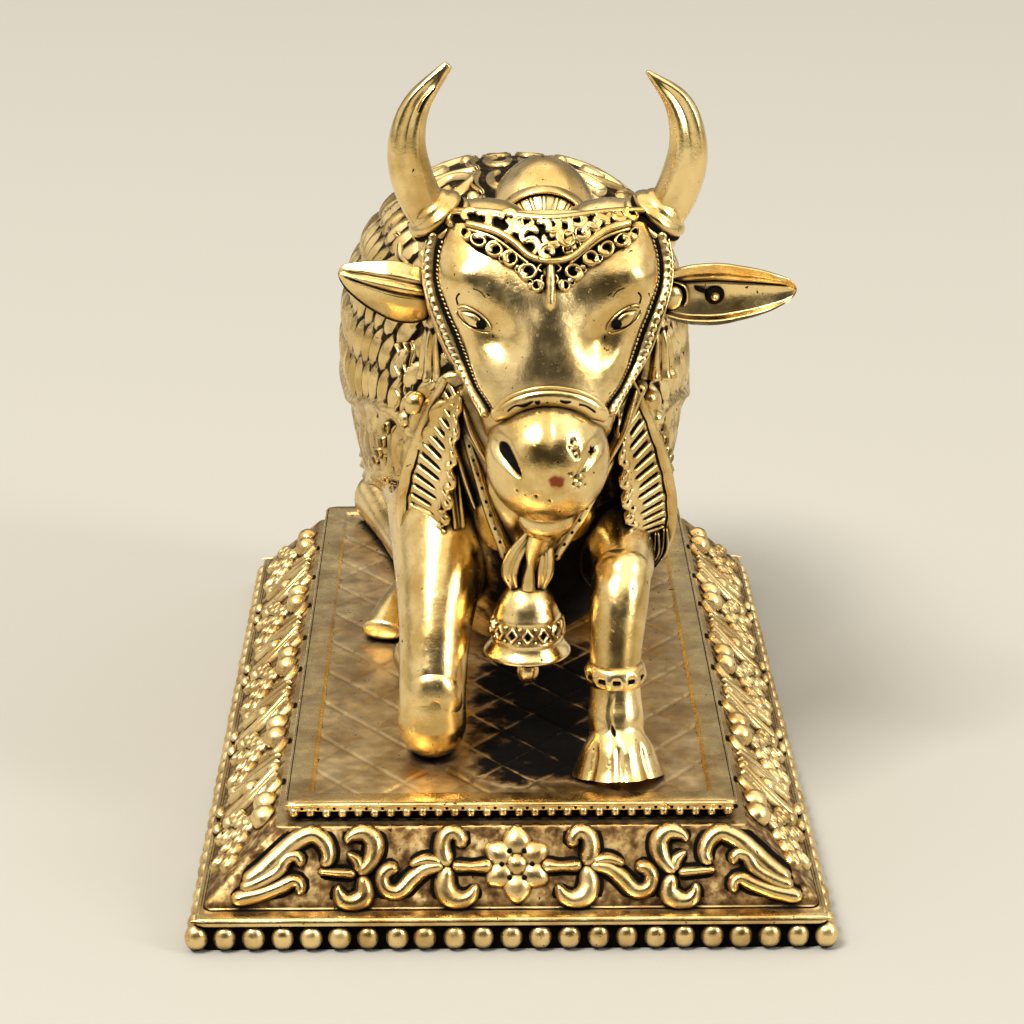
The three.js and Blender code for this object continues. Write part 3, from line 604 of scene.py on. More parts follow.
def side_relief(pile, quarter):
    """Pairs of berries over nested scales, slanting leaves and a boss between the motifs."""
    patch, slope = panel(quarter)
    pitch, motifs = 12.9, 5
    for i in range(motifs):
        mid = (i - 2) * pitch

        def berry(x, share, radii, height, rings, sides):
            dome(pile, patch, (mid + x, share * slope), radii, height, rings=rings, sides=sides)

        def leaf(points, widths, height, edge):
            stroke(pile, patch, [(mid + x, share * slope) for x, share in points], widths,
                   height, "rim", edge=edge)

        for hand in BOTH:
            berry(hand * 1.02, 0.82, (0.98, 0.98), 1.0, 9, 22)
            if abs(mid + hand * 6.2) > 30:
                continue
            for near, far, wide in ((5.1, 6.1, 0.42), (4.1, 5.0, 0.34)):
                leaf([(hand * far, 0.94), (hand * (near + 0.3), 0.55), (hand * near, 0.12)],
                     (0.24, wide + 0.1, wide), 0.55, 0.2)
            leaf([(hand * 2.2, 0.78), (hand * 3.0, 0.96), (hand * 3.9, 0.84),
                  (hand * 3.4, 0.66), (hand * 2.9, 0.74)], (0.3, 0.4, 0.38, 0.3, 0.24), 0.6,
                 0.18)
            berry(hand * 4.0, 0.2, (0.66, 0.6), 0.55, 6, 16)
            berry(hand * 5.2, -0.02, (0.7, 0.42), 0.4, 6, 16)
        for reach, count in ((1.55, 2), (2.5, 3), (3.5, 4), (4.5, 5)):
            for k in range(count):
                w = (k - (count - 1) / 2) * (34 - 2 * count) * DEG
                up = 0.82 * slope - reach * cos(w)
                if up > 0.12 * slope:
                    dome(pile, patch, (mid + 1.05 * reach * sin(w), up), (0.66, 0.86),
                         0.45 + 0.03 * reach, "rim", turn=w, rings=9, sides=20)
        if i < motifs - 1:
            berry(pitch / 2, 0.5, (0.74, 0.74), 0.7, 7, 18)
            berry(pitch / 2, 0.86, (0.5, 0.5), 0.55, 7, 16)


def plinth_relief(pile):
    end_relief(pile, 0, END_STROKES)
    end_relief(pile, 2, REAR_STROKES)
    side_relief(pile, 1)
    side_relief(pile, 3)


def plinth_field(pile):
    """The sunk field of the plate, scored with a lozenge net, with a painted shadow and painted
    reflection of the bull darkening it under the bull.
    """
    hx, hy = WIDTH / 2 - PLATE[0] - 1.72, LENGTH / 2 - PLATE[1] - 1.72
    x = np.linspace(-hx, hx, 180)[None, :]
    y = np.linspace(-hy, hy, 305)[:, None]
    net = 0.0
    for sign in BOTH:
        lines = (x * 0.82 + sign * y * 0.62 + 0.4) / 3.55
        net = np.maximum(net, bump(lines - np.round(lines), 0, 0.032))
    wander = 0.012 * np.sin(x * 1.7 + np.sin(y)) * np.cos(y * 1.3)
    z = HEIGHT - 0.15 - 0.09 * net + wander - 0.002
    # painted shadow and reflection: the field and its net lines darkened under the bull and
    # between its forelegs
    shade = smooth(x, -6.5, 0.5) * fade(x, 4.5, 12) * smooth(y, -29, -23.5) * fade(y, -6, 5)
    shadow_mottle = 0.12 * np.sin(x * 1.1 + 2 * np.sin(y * 0.7)) * np.sin(y * 0.9)
    wear = clamp(0.66 + 0.4 * net * (1 - 0.6 * shade) - (0.6 + shadow_mottle) * shade)
    pile.grid(np.stack([x + 0 * y, y + 0 * x, z], -1), wear, closed=False)


# ---------------------------------------------------------------- the bull's body

torso = Form([
    (1.7, -16, 14.5, 4, 6), (1.5, -12.5, 15.8, 8, 11.4), (1.1, -7, 17, 10.2, 15.6),
    (0.7, 1, 17.6, 11.4, 17.3), (0.6, 9, 17.1, 11.7, 16.4), (0.6, 17, 15.8, 11.5, 14.6),
    (0.7, 22.6, 14.2, 9.6, 12.3), (0.8, 26, 12.7, 4.8, 6.7)], UP, 2.15, 0.22)
CLOTH_START, CLOTH_END, CLOTH_FRONT = 0.365, 0.82, 0.1
HEM, SKIRT = 84.0, 106.0
CLOTH_RUN = float(np.linalg.norm(torso.at(CLOTH_END, 90 * DEG) - torso.at(CLOTH_START, 90 * DEG)))
LINE_T = np.linspace(0, 1, 200)
LINE_RUN = run_along(torso.at(LINE_T, 85 * DEG))
DROP_PITCH, DROP_ROWS, DROP_ROW = 1.5, 5, 10.0
LOOP_PITCH = 2.5
SPINE_RADIUS = 13.0


def cloth_map(t, angle):
    """Distance along the side, angle from the spine, the angles of the two hems there, then
    1 where the cloth lies along the back and 1 on the cords across its ends."""
    a = np.abs(turned_degrees(angle))
    s = np.interp(t, LINE_T, LINE_RUN)
    front, back = np.interp((CLOTH_FRONT, CLOTH_END), LINE_T, LINE_RUN)
    hem = 62 + (HEM - 62) * smooth(t, CLOTH_FRONT, 0.4)
    skirt = 84 + (SKIRT - 84) * smooth(t, CLOTH_FRONT, 0.42)
    over = smooth(s, front - 0.4, front) * fade(s, back, back + 0.5)
    ends = bump(s, front + 0.3, 0.3) + bump(s, front + 1.2, 0.25) + bump(s, back, 0.42)
    return s, a, hem, skirt, over, ends


def cloth_rise(t, angle):
    """Saddle cloth: flat back, rows of hanging drops, two cord hems, and a skirt of loops."""
    s, a, hem, skirt, over, ends = cloth_map(t, angle)
    upper = over * fade(a, hem, hem + 1.2)
    lower = over * smooth(a, hem, hem + 1.2) * fade(a, skirt, skirt + 1.5)
    rise = (0.1 + 0.35 * smooth(t, 0.3, CLOTH_START)) * upper + 0.1 * lower
    for row in range(DROP_ROWS):
        phase = (s / DROP_PITCH + 0.5 * (row % 2)) % 1 - 0.5
        long = (a - (hem - 2 - (row + 0.5) * DROP_ROW)) / (0.56 * DROP_ROW)
        wide = 0.4 * (0.75 + 0.25 * np.clip(long, -1, 1))
        rise = rise + 0.42 * clamp(1 - (phase / wide) ** 2 - long**2) ** 0.5 * upper
    phase = (s / LOOP_PITCH) % 1 - 0.5
    long = (a - (hem + skirt) / 2 - 0.5) / (0.44 * (skirt - hem))
    radius = np.sqrt((phase / 0.46) ** 2 + long**2)
    loop, heart = bump(radius, 0.88, 0.26), clamp(1 - (radius / 0.5) ** 2) ** 0.5
    rise = rise + lower * (0.42 * loop + 0.45 * heart)
    rise = rise + over * 0.6 * (bump(a, hem, 1.5) + bump(a, skirt, 1.4))
    return rise + 0.5 * ends * fade(a, skirt, skirt + 1.5)


def cloth_wear(t, angle):
    _, a, hem, skirt, over, _ = cloth_map(t, angle)
    rise = cloth_rise(t, angle) - 0.35 * smooth(t, 0.3, CLOTH_START) * fade(a, hem, hem + 1.2)
    decked = over * fade(a, skirt, skirt + 1.5)
    # painted shade: the body's tone falls from 0.8 to 0.2 towards its underside
    hide_with_shaded_belly = 0.8 - 0.6 * smooth(a, 140, 170)
    return clamp(hide_with_shaded_belly * (1 - decked) + decked * (0.17 + 0.83 * smooth(rise, 0.16, 0.42)))


def torso_patch(u, v, h):
    """u runs back along the spine from the vines' start, v round from the spine, in mm."""
    t = CLOTH_START + u / CLOTH_RUN * (CLOTH_END - CLOTH_START)
    return torso.at(t, v / SPINE_RADIUS, h)


def back_vines(pile):
    """Running vine scrolls on both sides of the spine."""
    for hand in BOTH:
        for k in range(-2, 8):
            u0 = 1.5 + k * 3.2
            turn = 1 if k % 2 else -1
            vine = [(u0 + u, hand * (5.0 + v * turn)) for u, v in (
                (-1.7, -2.6), (-0.9, 0.6), (0.5, 2.2), (1.5, 0.9), (0.8, -0.6), (-0.1, -0.1),
                (0.2, 0.9))]
            stroke(pile, torso_patch, vine, (0.3, 0.42, 0.44, 0.4, 0.36, 0.3, 0.26), 0.86,
                   density=5)
            curl = [(u0 + 1.1 * cos(w), hand * (1.0 + 0.75 * sin(w)))
                    for w in (0, 1.2, 2.4, 3.6, 4.8)]
            stroke(pile, torso_patch, curl, (0.26, 0.4, 0.34, 0.24), 0.8, "worn")
            for v in (2.3, 8.3):
                leaf = [(u0 - 1.5, hand * v), (u0, hand * (v + 0.5)), (u0 + 1.5, hand * v)]
                stroke(pile, torso_patch, leaf, (0.2, 0.42, 0.2), 0.8, "crease")
            dome(pile, torso_patch, (u0 + 1.6, hand * (5.0 - 2.0 * turn)), (0.55, 0.55), 0.9,
                 rings=6, sides=14)
            dome(pile, torso_patch, (u0 - 0.9, hand * 7.0), (0.4, 0.4), 0.82, rings=5, sides=12)


def bull_body(pile):
    torso.skin(pile, 200, 280, cloth_rise, cloth_wear)
    back_vines(pile)


# ---------------------------------------------------------------- the bull's head

neck = Form([(1.3, -4, 21, 8.6, 10.4), (1.6, -8.5, 24, 7.9, 9), (2.1, -11.5, 27, 7, 7.6),
             (2.5, -13.6, 29.6, 6, 6.4)], UP)
head = Form([
    (2.5, -19.9, 22.4, 4.1, 3.7), (2.5, -18.5, 24.6, 5.1, 4.2), (FACE, -16.9, 27.2, 6.9, 4.9),
    (FACE, -15.2, 30.4, 8.1, 5.2), (FACE, -13.7, 33.6, 8, 4.8), (FACE, -12.2, 36.1, 6.6, 3)],
    FRONT, 2.4)
HEAD_TOP, HEAD_RUN, CHEEK_RADIUS = 0.845, 15.8, 7.6

# lines on the face: mm from its middle line, mm up from the nose
LACE_LOW = [(-6.4, 12.9), (-5.2, 12.75), (-3.33, 12.25), (-2.19, 11.65), (-1.11, 10.8),
            (0.14, 10.45), (1.4, 10.8), (2.55, 11.65), (3.6, 12.3), (5.2, 12.8), (6.4, 12.95)]
POLL_LINE = [(-6.4, 13.85), (-4.4, 13.5), (-2.2, 13.1), (0.0, 12.85), (2.2, 13.1),
             (4.4, 13.5), (6.4, 13.85)]
SCALLOPS = [(-6.0, 12.3), (-4.6, 11.15), (-3.3, 10.6), (-2.35, 10.05), (-1.35, 9.0),
            (-0.8, 8.4), (-0.3, 8.3), (0.3, 8.9), (0.9, 8.5), (1.5, 9.0), (2.45, 10.05),
            (3.4, 10.6), (4.6, 11.2), (6.0, 12.3)]
# the rope down the cheek: mm up from the nose, degrees round the head
ROPE = [(0.6, 53), (1.8, 57), (3.0, 61), (4.7, 62.5), (6.9, 58), (8.5, 57.5), (10.0, 59),
        (11.4, 58), (12.8, 54)]
# casting pits on the muzzle, in shares of its half sizes: across, up, size
PITS = [(0.38, 0.5, 0.025), (0.34, 0.42, 0.016), (0.42, 0.36, 0.032), (0.45, 0.28, 0.02),
        (0.74, 0.3, 0.04), (0.43, -0.05, 0.03), (0.36, 0.02, 0.022), (0.52, -0.12, 0.034),
        (0.47, -0.2, 0.022), (0.4, -0.14, 0.016), (0.56, -0.04, 0.02), (0.6, -0.2, 0.016),
        (-0.5, -0.28, 0.014), (-0.2, -0.34, 0.016), (0.02, -0.4, 0.012)]


def head_rise(t, angle):
    """Brow bosses, hollows by the nose, a ridge down the forehead and flat cheeks."""
    a = turned_degrees(angle)
    rise = 0.55 * bump(a, 0, 9) * bump(t, 0.62, 0.2)
    for side in BOTH:
        for height, at, wide, up, tall in ((0.55, 40, 14, 0.62, 0.09), (-0.75, 30, 13, 0.38, 0.1),
                                           (-0.35, 56, 10, 0.36, 0.12), (0.3, 62, 12, 0.2, 0.1)):
            rise = rise + height * bump(a, side * at, wide) * bump(t, up, tall)
    rise = rise + 0.35 * bump(a, 0, 22) * bump(t, 0.3, 0.18)
    groove = bump(np.abs(a), line_at(ROPE, t * HEAD_RUN), 3.6) * smooth(t, 0.04, 0.08)
    return (rise - 0.3 * groove) * fade(np.abs(a), 60, 95)


def head_wear(t, angle):
    """Dark behind the lace, under the hanging loops and along the cheek rope."""
    x, up = head.at(t, angle)[..., 0] - FACE, t * HEAD_RUN + 0 * angle
    a = np.abs(turned_degrees(angle))
    low, poll, scallop = line_at(LACE_LOW, x), line_at(POLL_LINE, x), line_at(SCALLOPS, x)
    lace = smooth(up, low, low + 0.1) * fade(up, poll - 0.1, poll)
    hung = smooth(up, scallop, scallop + 0.15) * fade(up, low - 0.1, low)
    hung = hung * smooth(np.abs(x), 0.3, 0.45) * fade(np.abs(x), 5.2, 5.8)
    rope = 1.3 * bump(a, line_at(ROPE, up), 5.0) * smooth(up, 0.5, 1.0) * fade(up, 12.6, 13.2)
    return 0.95 * (1 - (a < 80) * clamp(0.88 * lace + hung + rope))


def face_patch(x, up, h):
    """Point on the face x mm to the side of its middle line and up mm above the nose."""
    t = clamp(up / HEAD_RUN)
    low, high = np.full(np.shape(x), -1.75), np.full(np.shape(x), 1.75)
    for _ in range(22):
        mid = (low + high) / 2
        short = head.at(t, mid)[..., 0] - FACE < x
        low, high = np.where(short, mid, low), np.where(short, high, mid)
    angle = (low + high) / 2
    return head.at(t, angle, h + head_rise(t, angle))


def bull_head(pile):
    neck.skin(pile, 40, 80, wear=0.7)
    head.skin(pile, 155, 270, head_rise, head_wear, top=HEAD_TOP, dome=0.18, cap_wear=0.85)
    # chest: painted shade, black underneath, lighter on top and on the -x side facing the key
    # light
    ellipsoid(pile, (1.7, -10.5, 14.5), (7.4, 7, 9.6), 44, 60,
              wear=lambda way: 0.62 * smooth(way[..., 2], 0.1, 0.6)
              + 0.3 * smooth(-way[..., 0], 0.1, 0.5))
    ellipsoid(pile, (2.5, -3.4, 30.6), (4.3, 5.4, 6.4), 48, 64, wear=0.9)
    for hand in BOTH:
        ellipsoid(pile, (FACE + hand * 4.2, -13.2, 34.85), (3.0, 2.3, 1.5), 30, 56, wear=0.95)


def muzzle_rise(way):
    """The nostrils, the cleft over the lip and a few casting pits."""
    x, y, z = way[..., 0], way[..., 1], way[..., 2]
    rise = np.zeros_like(x)
    for side, deep in ((-1, 0.6), (1, 0.22)):
        ax, az, bx, bz = side * 0.74, 0.33, side * 0.46, -0.02
        run_x, run_z = bx - ax, bz - az
        s = clamp(((x - ax) * run_x + (z - az) * run_z) / (run_x**2 + run_z**2))
        away = np.hypot(x - ax - s * run_x, z - az - s * run_z)
        rise -= deep * bump(away, 0, 0.1 * (1 - s) ** 0.7 + 0.02)
    for px, pz, size in PITS:
        ragged = 1 + 0.35 * np.sin(5 * np.arctan2(z - pz, x - px) + 40 * px)
        rise -= 0.4 * bump(np.hypot(x - px, (z - pz) * 0.8), 0, size * ragged)
    rise -= 0.1 * bump(x, 0.02, 0.07) * bump(z, 0.75, 0.3)
    return rise * (y < 0)


def muzzle_wear(way):
    return clamp(0.95 + 2.4 * np.minimum(muzzle_rise(way), 0))


def almond(a):
    return (np.abs(np.cos(a)) ** 1.35 + np.abs(np.sin(a)) ** 1.35) ** (-1 / 1.35)


def cheek_and_eye(pile, hand):
    """The rope down one cheek, and the eye: dark outline, ball, lids, pupil and creases."""
    def cheek(u, v, h):
        t, angle = u / HEAD_RUN, hand * v / CHEEK_RADIUS
        return head.at(t, angle, h + head_rise(t, angle))

    def eye(u, v, h):
        c, s = cos(0.63), sin(0.63)
        return face_patch(hand * (4.95 + c * u - s * v), 7.2 + s * u + c * v, h)

    rope = [(up, radians(angle) * CHEEK_RADIUS) for up, angle in ROPE]
    for k in range(44):
        up = 0.9 + 0.26 * k
        dome(pile, cheek, (up, line_at(rope, up)), (0.13, 0.24), 0.03, turn=0.5 * hand, rings=3,
             sides=8, lift=0.05)
    stroke(pile, cheek, [(up, v + 0.85) for up, v in rope], 0.42, 0.45, density=8, twist=0.5)
    stroke(pile, cheek, [(up, v + 1.6) for up, v in rope], 0.24, 0.3, density=8)
    dome(pile, eye, (0, 0), (1.22, 0.6), 0.08, "pit", outline=almond, rings=5, sides=30)
    dome(pile, eye, (0.02, 0), (1.0, 0.42), 0.26, outline=almond, rings=8, sides=30, lift=0.05)
    lid = [(1.2 * cos(w), 0.5 * sin(w)) for w in np.linspace(0.1, pi - 0.1, 9)]
    stroke(pile, eye, lid, 0.1, 0.22, density=12, sides=7)
    stroke(pile, eye, [(x, -y * 0.95) for x, y in lid], 0.08, 0.14, density=12, sides=7)
    dome(pile, eye, (-0.5, 0.02), (0.34, 0.27), 0.06, "pit", lift=0.26, rings=4, sides=16)
    for crease, wide, height, tone in (([(1.2, 0.2), (1.5, 0.55), (1.4, 0.95)], 0.1, 0.05, 0),
                                       ([(-1.3, -0.1), (-1.62, -0.3)], 0.11, 0.05, 0),
                                       ([(0.95, 1.5), (0.4, 1.6), (-0.1, 1.45)], 0.07, 0.03, 0.1),
                                       ([(0.15, 1.75), (-0.3, 1.7)], 0.09, 0.03, 0.1)):
        stroke(pile, eye, crease, wide, height, tone=tone, density=10)


def noseband(pile):
    """A broad arch with a lip over it and fine broken cuts along it."""
    stroke(pile, face_patch, [(-3.4, 0.0), (-2.75, 0.7), (-1.6, 1.25), (0.0, 1.48), (1.7, 1.25),
                              (2.85, 0.7), (3.5, 0.0)], 0.82, 0.6, sides=13, tips=1.0)
    stroke(pile, face_patch, [(-3.3, 0.5), (-2.65, 1.25), (-1.55, 1.8), (0.0, 2.05),
                              (1.65, 1.8), (2.75, 1.25), (3.4, 0.5)], 0.26, 0.7, tips=1.2)
    for cut in ([(-2.5, 0.35), (-2.0, 0.75), (-1.5, 0.7), (-0.9, 1.05)],
                [(-0.9, 1.05), (-0.75, 0.85), (-0.5, 1.0)],
                [(0.5, 1.05), (0.9, 0.9), (1.3, 0.98)], [(1.6, 0.8), (2.1, 0.72), (2.7, 0.3)],
                [(-2.9, 0.95), (-2.5, 1.3)]):
        stroke(pile, face_patch, cut, (0.04, 0.07, 0.05), 0.64, "flat", 5, tone=0, density=10)


def curled(x, up, wide, tall, turns, shrink):
    """Path of a curl that closes in as it turns."""
    return [(x + wide * cos(w) * (1 - shrink * k), up + tall * sin(w) * (1 - shrink * k))
            for w, k in turns]


def headdress(pile):
    """Lace of curls under a bright strand, hanging loops and the ridge down the brow."""
    stroke(pile, face_patch, LACE_LOW[1:-1], 0.3, 0.75, density=7)
    stroke(pile, face_patch, POLL_LINE, 0.3, 0.5)
    x = -5.7
    while x < 5.8:
        low, high = line_at(LACE_LOW, x) + 0.15, line_at(POLL_LINE, x) - 0.05
        rows = max(1, round((high - low) / 0.7))
        for row in range(rows):
            up = low + (high - low) * (row + 0.5) / rows + rng.normal(0, 0.06)
            size = 0.34 + 0.2 * rng.random()
            here = x + 0.36 * (row % 2) + rng.normal(0, 0.1)
            if rng.random() < 0.4:
                dome(pile, face_patch, (here, up), (size * 1.2, size), 0.5, "ring",
                     turn=rng.uniform(-1, 1), sides=14)
            turn, sense = rng.uniform(0, 6.28), rng.choice(BOTH)
            turns = [(turn + sense * w, w) for w in (0, 1.0, 2.1, 3.3, 4.4)]
            stroke(pile, face_patch, curled(here, up, size * 1.5, size * 1.2, turns, 0.16),
                   (0.2, 0.32, 0.3, 0.22), 0.42 + 0.25 * rng.random(), "worn", density=9,
                   sides=7)
        x += 0.74
    for side in BOTH:
        for away, up, wide, tall in (
                (5.3, 12.25, 0.5, 0.34), (4.5, 11.85, 0.62, 0.42), (3.5, 11.3, 0.66, 0.5),
                (2.5, 10.75, 0.58, 0.58), (1.4, 9.85, 0.78, 0.7), (0.85, 8.9, 0.42, 0.4),
                (3.0, 10.75, 0.3, 0.28), (2.0, 10.0, 0.3, 0.26), (1.3, 9.1, 0.26, 0.24)):
            here = side * away + 0.1
            dome(pile, face_patch, (here, up), (wide * rng.uniform(0.85, 1.1), tall), 0.5,
                 "ring", turn=side * rng.uniform(0.1, 0.9), sides=20, rings=8)
            turn = rng.uniform(0, 6.28)
            turns = [(turn + w, w) for w in (0, 1.1, 2.2, 3.3)]
            stroke(pile, face_patch, curled(here, up, 0.85 * wide, 0.85 * tall, turns, 0.2),
                   (0.18, 0.28, 0.2), 0.55, "worn", density=9, sides=7)
        stroke(pile, face_patch, [(side * 5.2, 12.5), (side * 3.5, 11.95), (side * 2.3, 11.2),
                                  (side * 1.15, 10.3)], 0.2, 0.5, density=8)
        for up, v in ((10.4, 0.7), (9.6, 0.5)):
            stroke(pile, face_patch, [(side * 0.35, up), (side * v, up - 0.35),
                                      (side * 0.4, up - 0.7)], 0.14, 0.4, density=10)
    stroke(pile, face_patch, [(0.08, 10.5), (0.08, 9.0), (0.06, 7.4)], (0.3, 0.4, 0.3), 0.5,
           density=5)
    stroke(pile, face_patch, [(0.75, 10.0), (0.72, 9.15), (1.15, 9.05)], 0.12, 0.05, tone=0)


def bull_face(pile):
    ellipsoid(pile, (2.45, -21.4, 21.1), (4.05, 4, 4.25), 130, 190, muzzle_rise, muzzle_wear)
    ellipsoid(pile, (2.4, -20.6, 16.8), (1.9, 2, 1.6))
    for hand in BOTH:
        cheek_and_eye(pile, hand)
    noseband(pile)
    headdress(pile)


# ---------------------------------------------------------------- horns, ears, tassels, hump

def horn(pile, hand):
    """A horn with a shallow flute, and the ringed collar at its root."""
    def x(away):
        return FACE + hand * away

    tip = (x(6.45), -14.3, 45.4, 0.34, 0.24) if hand < 0 else (x(6.45), -14.3, 44.95, 0.16, 0.24)
    core = Form([(x(6.2), -13.6, 33.6, 1.3, 1.3), (x(7.9), -14.2, 35.9, 1.4, 1.4),
                 (x(8.9), -14.5, 38.4, 1.4, 1.4), (x(9.1), -14.6, 40.7, 1.2, 1.2),
                 (x(8.4), -14.5, 43.0, 0.88, 0.88), tip], FRONT)

    def fluted(t, angle):
        a = turned_degrees(angle * hand)
        flutes = -0.34 * bump(a, 8, 24) + 0.1 * bump(a, 42, 16) + 0.1 * bump(a, -28, 14)
        return fade(t, 0.8, 0.98) * flutes

    def stained(t, angle):
        return 0.9 - 0.28 * bump(turned_degrees(angle * hand), 14, 12) * fade(t, 0.75, 0.95)

    core.skin(pile, 70, 52, fluted, stained)
    collar = Form([(x(5.7), -13.7, 33.9, 1.9, 2.0), (x(6.8), -14.0, 34.9, 1.95, 2.05),
                   (x(7.7), -14.2, 36.0, 1.7, 1.8)], FRONT)
    collar.skin(pile, 46, 56,
                lambda t, angle: 0.36 * np.abs(np.sin(3 * pi * t)) - 0.08 + 0 * angle,
                lambda t, angle: 0.95 - bump(t, 1 / 3, 0.07) - bump(t, 2 / 3, 0.07) + 0 * angle)
    for share in (1 / 3, 2 / 3):
        stroke(pile, lambda u, v, h: collar.at(share + u / 3.2, v / 1.95, h),
               [(0, v) for v in (-6.1, -3, 0, 3, 6.1)], 0.16, 0.18, "flat", 7, tone=0, tips=0.1)
    if hand < 0:
        for off, wide, tone in ((0.0, 0.16, 0.0), (0.2, 0.09, 0.9)):
            chip = [(9.2, -0.45 + off), (10.1, -0.4 + off), (10.9, -0.6 + off)]
            stroke(pile, lambda u, v, h: core.at(u / 12, -v / 1.2, h + 0.02), chip, wide, 0.07,
                   tone=tone, density=10)


def ear(pile, hand, length, lift, dish):
    """A leaf-shaped shell. The right ear shows its back, the left its hollow and a stud."""
    rows, columns = 90, 60
    root = FACE + hand * 7.2
    share = np.linspace(0, 1, rows)
    half = np.interp(share, [0, 0.2, 0.45, 0.75, 0.93, 1], [1.25, 2.0, 2.15, 1.55, 0.9, 0.6])
    half = np.convolve(np.pad(half, 8, mode="edge"), np.ones(17) / 17, "valid")
    half[-10:] *= np.sqrt(1 - np.linspace(0, 0.995, 10) ** 2)
    s, w = share[:, None], half[:, None]
    v = np.sin(np.linspace(-90, 90, columns) * DEG)[None, :]
    x = root + hand * length * s + 0 * v
    z = 30 + lift * s**2 + w * v
    front = -14.0 - dish * w * (1 - v**2) - 0.2 * v + 0 * s
    wear = np.full((rows, columns), 0.9)
    if hand < 0:
        for at, wide, deep in ((0.02, 0.045, 0.3), (0.42, 0.045, 0.2)):
            groove = bump(v, at + 0.12 * s, wide) * fade(s, 0.85, 0.98) * smooth(s, 0.02, 0.1)
            front = front + deep * groove
            wear = wear - 0.75 * groove
        front = front - 0.22 * bump(v, 0.22 + 0.1 * s, 0.12) - 0.2 * bump(v, 0.62, 0.14) * (1 - s)
        wear = wear - 0.4 * bump(s, 0.22, 0.16) * bump(v, -0.72, 0.18)
    else:
        rolled = smooth(v, 0.55, 0.72) + smooth(-v, 0.74, 0.88)
        front = front - 0.4 * rolled * fade(s, 0.8, 1) + 0.15 * bump(v, 0.05, 0.5)
        line = bump(v, 0.38 - 0.1 * s, 0.04) * smooth(s, 0.12, 0.2) * fade(s, 0.9, 0.97)
        front = front + 0.25 * line
        wear = wear - 0.9 * line - 0.3 * bump(v, 0.5, 0.09) * bump(s, 0.45, 0.2)
        wear = wear - 0.15 * (1 - rolled)
    back = -13.2 + (0.25 + 0.35 * w) * (1 - v**2) - 0.75 * v**2 + 0 * s
    shell = [np.stack([x, front, z], -1), np.stack([x, back, z], -1)[:, ::-1]]
    pile.grid(np.concatenate(shell, 1),
              np.concatenate([wear, np.full((rows, columns), 0.7)], 1))
    if hand > 0:
        def hollow(u, up, h):
            w = np.interp(u / length, share, half)
            return np.stack([root + u, -13.95 + 0.2 * w - h + 0 * up,
                             30 + 0.3 * (u / length) ** 2 + up], -1)

        dome(pile, hollow, (1.05, -0.25), (0.95, 1.0), 0.6, sides=22)
        stroke(pile, hollow, [(1.0, 0.95), (1.95, 0.5), (2.15, -0.3), (1.9, -0.95)], 0.13, 0.35,
               density=8)
        dome(pile, hollow, (4.0, -0.25), (0.66, 0.66), 0.32, "pit", rings=5, sides=20)
        dome(pile, hollow, (4.0, -0.25), (0.36, 0.36), 0.66)
        stroke(pile, hollow, [(2.6, 0.35), (3.1, 0.1), (3.5, 0.0)], 0.12, 0.3, tone=0)


def tassel(pile, hand, beads):
    """A fringed bell of threads behind the cheek, and two beads below it."""
    def fringe(t, angle):
        return np.cos(9 * angle) * smooth(t, 0.2, 0.5)

    Form([(FACE + hand * 7.2, -13.8, 29, 0.5, 0.5), (FACE + hand * 7.3, -14.0, 26.8, 0.95, 0.95),
          (FACE + hand * 7.2, -14.1, 24.4, 1.3, 1.15)], FRONT).skin(
        pile, 30, 63,
        lambda t, angle: 0.14 * fringe(t, angle) + 0.14 * bump(t, 0.97, 0.06)
        + 0.1 * bump(t, 0.2, 0.08),
        lambda t, angle: 0.62 + 0.4 * fringe(t, angle) - 0.5 * bump(t, 0.3, 0.06), dome=0.15)
    ellipsoid(pile, beads[0], (0.78, 0.7, 0.86), 16, 24)
    ellipsoid(pile, beads[1], (0.62, 0.6, 0.62), 14, 20)


def hump_band(pile):
    """A fan of ribs under an arch, laid on the front of the hump."""
    def disc(u, v, h):
        z = 32.4 + v
        bulge = np.clip(1 - (u / 4.3) ** 2 - ((z - 30.6) / 6.4) ** 2, 0.02, 1)
        return np.stack([2.5 + u, -3.4 - 5.4 * np.sqrt(bulge) - h, z], -1)

    dome(pile, disc, (0, 0), (3.0, 2.9), 0.05, "pit", base=0.5, rings=6, sides=48)
    turns = np.linspace(-80, 80, 15) * DEG
    stroke(pile, disc, [(sin(w) * 3.2, cos(w) * 3.1) for w in turns], 0.3, 0.5, base=0.5)
    stroke(pile, disc, [(sin(w) * 1.1, cos(w)) for w in turns], 0.3, 0.3, density=8, base=0.6)
    for k in range(-4, 5):
        w = k * 19 * DEG
        stroke(pile, disc, [(sin(w) * 1.1, cos(w)), (sin(w) * 3.0, cos(w) * 2.9)], (0.16, 0.26),
               0.3, base=0.6)


def bull_crown(pile):
    for hand in BOTH:
        horn(pile, hand)
    ear(pile, -1, 6.6, 1.5, 0.45)
    ear(pile, 1, 9.4, 0.3, -0.25)
    tassel(pile, -1, [(-6.2, -15.0, 22.8), (-6.85, -14.5, 21.6)])
    tassel(pile, 1, [(9.4, -13.9, 22.6), (9.9, -13.5, 21.2)])
    hump_band(pile)


# ---------------------------------------------------------------- the bull's harness

def path_patch(points, facing=FRONT):
    """Patch along a curve in space: mm along it, mm across it, and out toward facing."""
    fine = spline(points, np.linspace(0, 1, 240))
    run = run_along(fine)

    def spot_at(u):
        return np.stack([np.interp(u, run, fine[:, k]) for k in range(3)], -1)

    def patch(u, v, h):
        u, v, h = np.broadcast_arrays(u, v, h)
        tangent = unit(spot_at(u + 0.2) - spot_at(u - 0.2))
        across = unit(np.cross(tangent, facing))
        out = np.cross(across, tangent)
        return spot_at(u) + across * v[..., None] + out * h[..., None]

    return patch, float(run[-1])


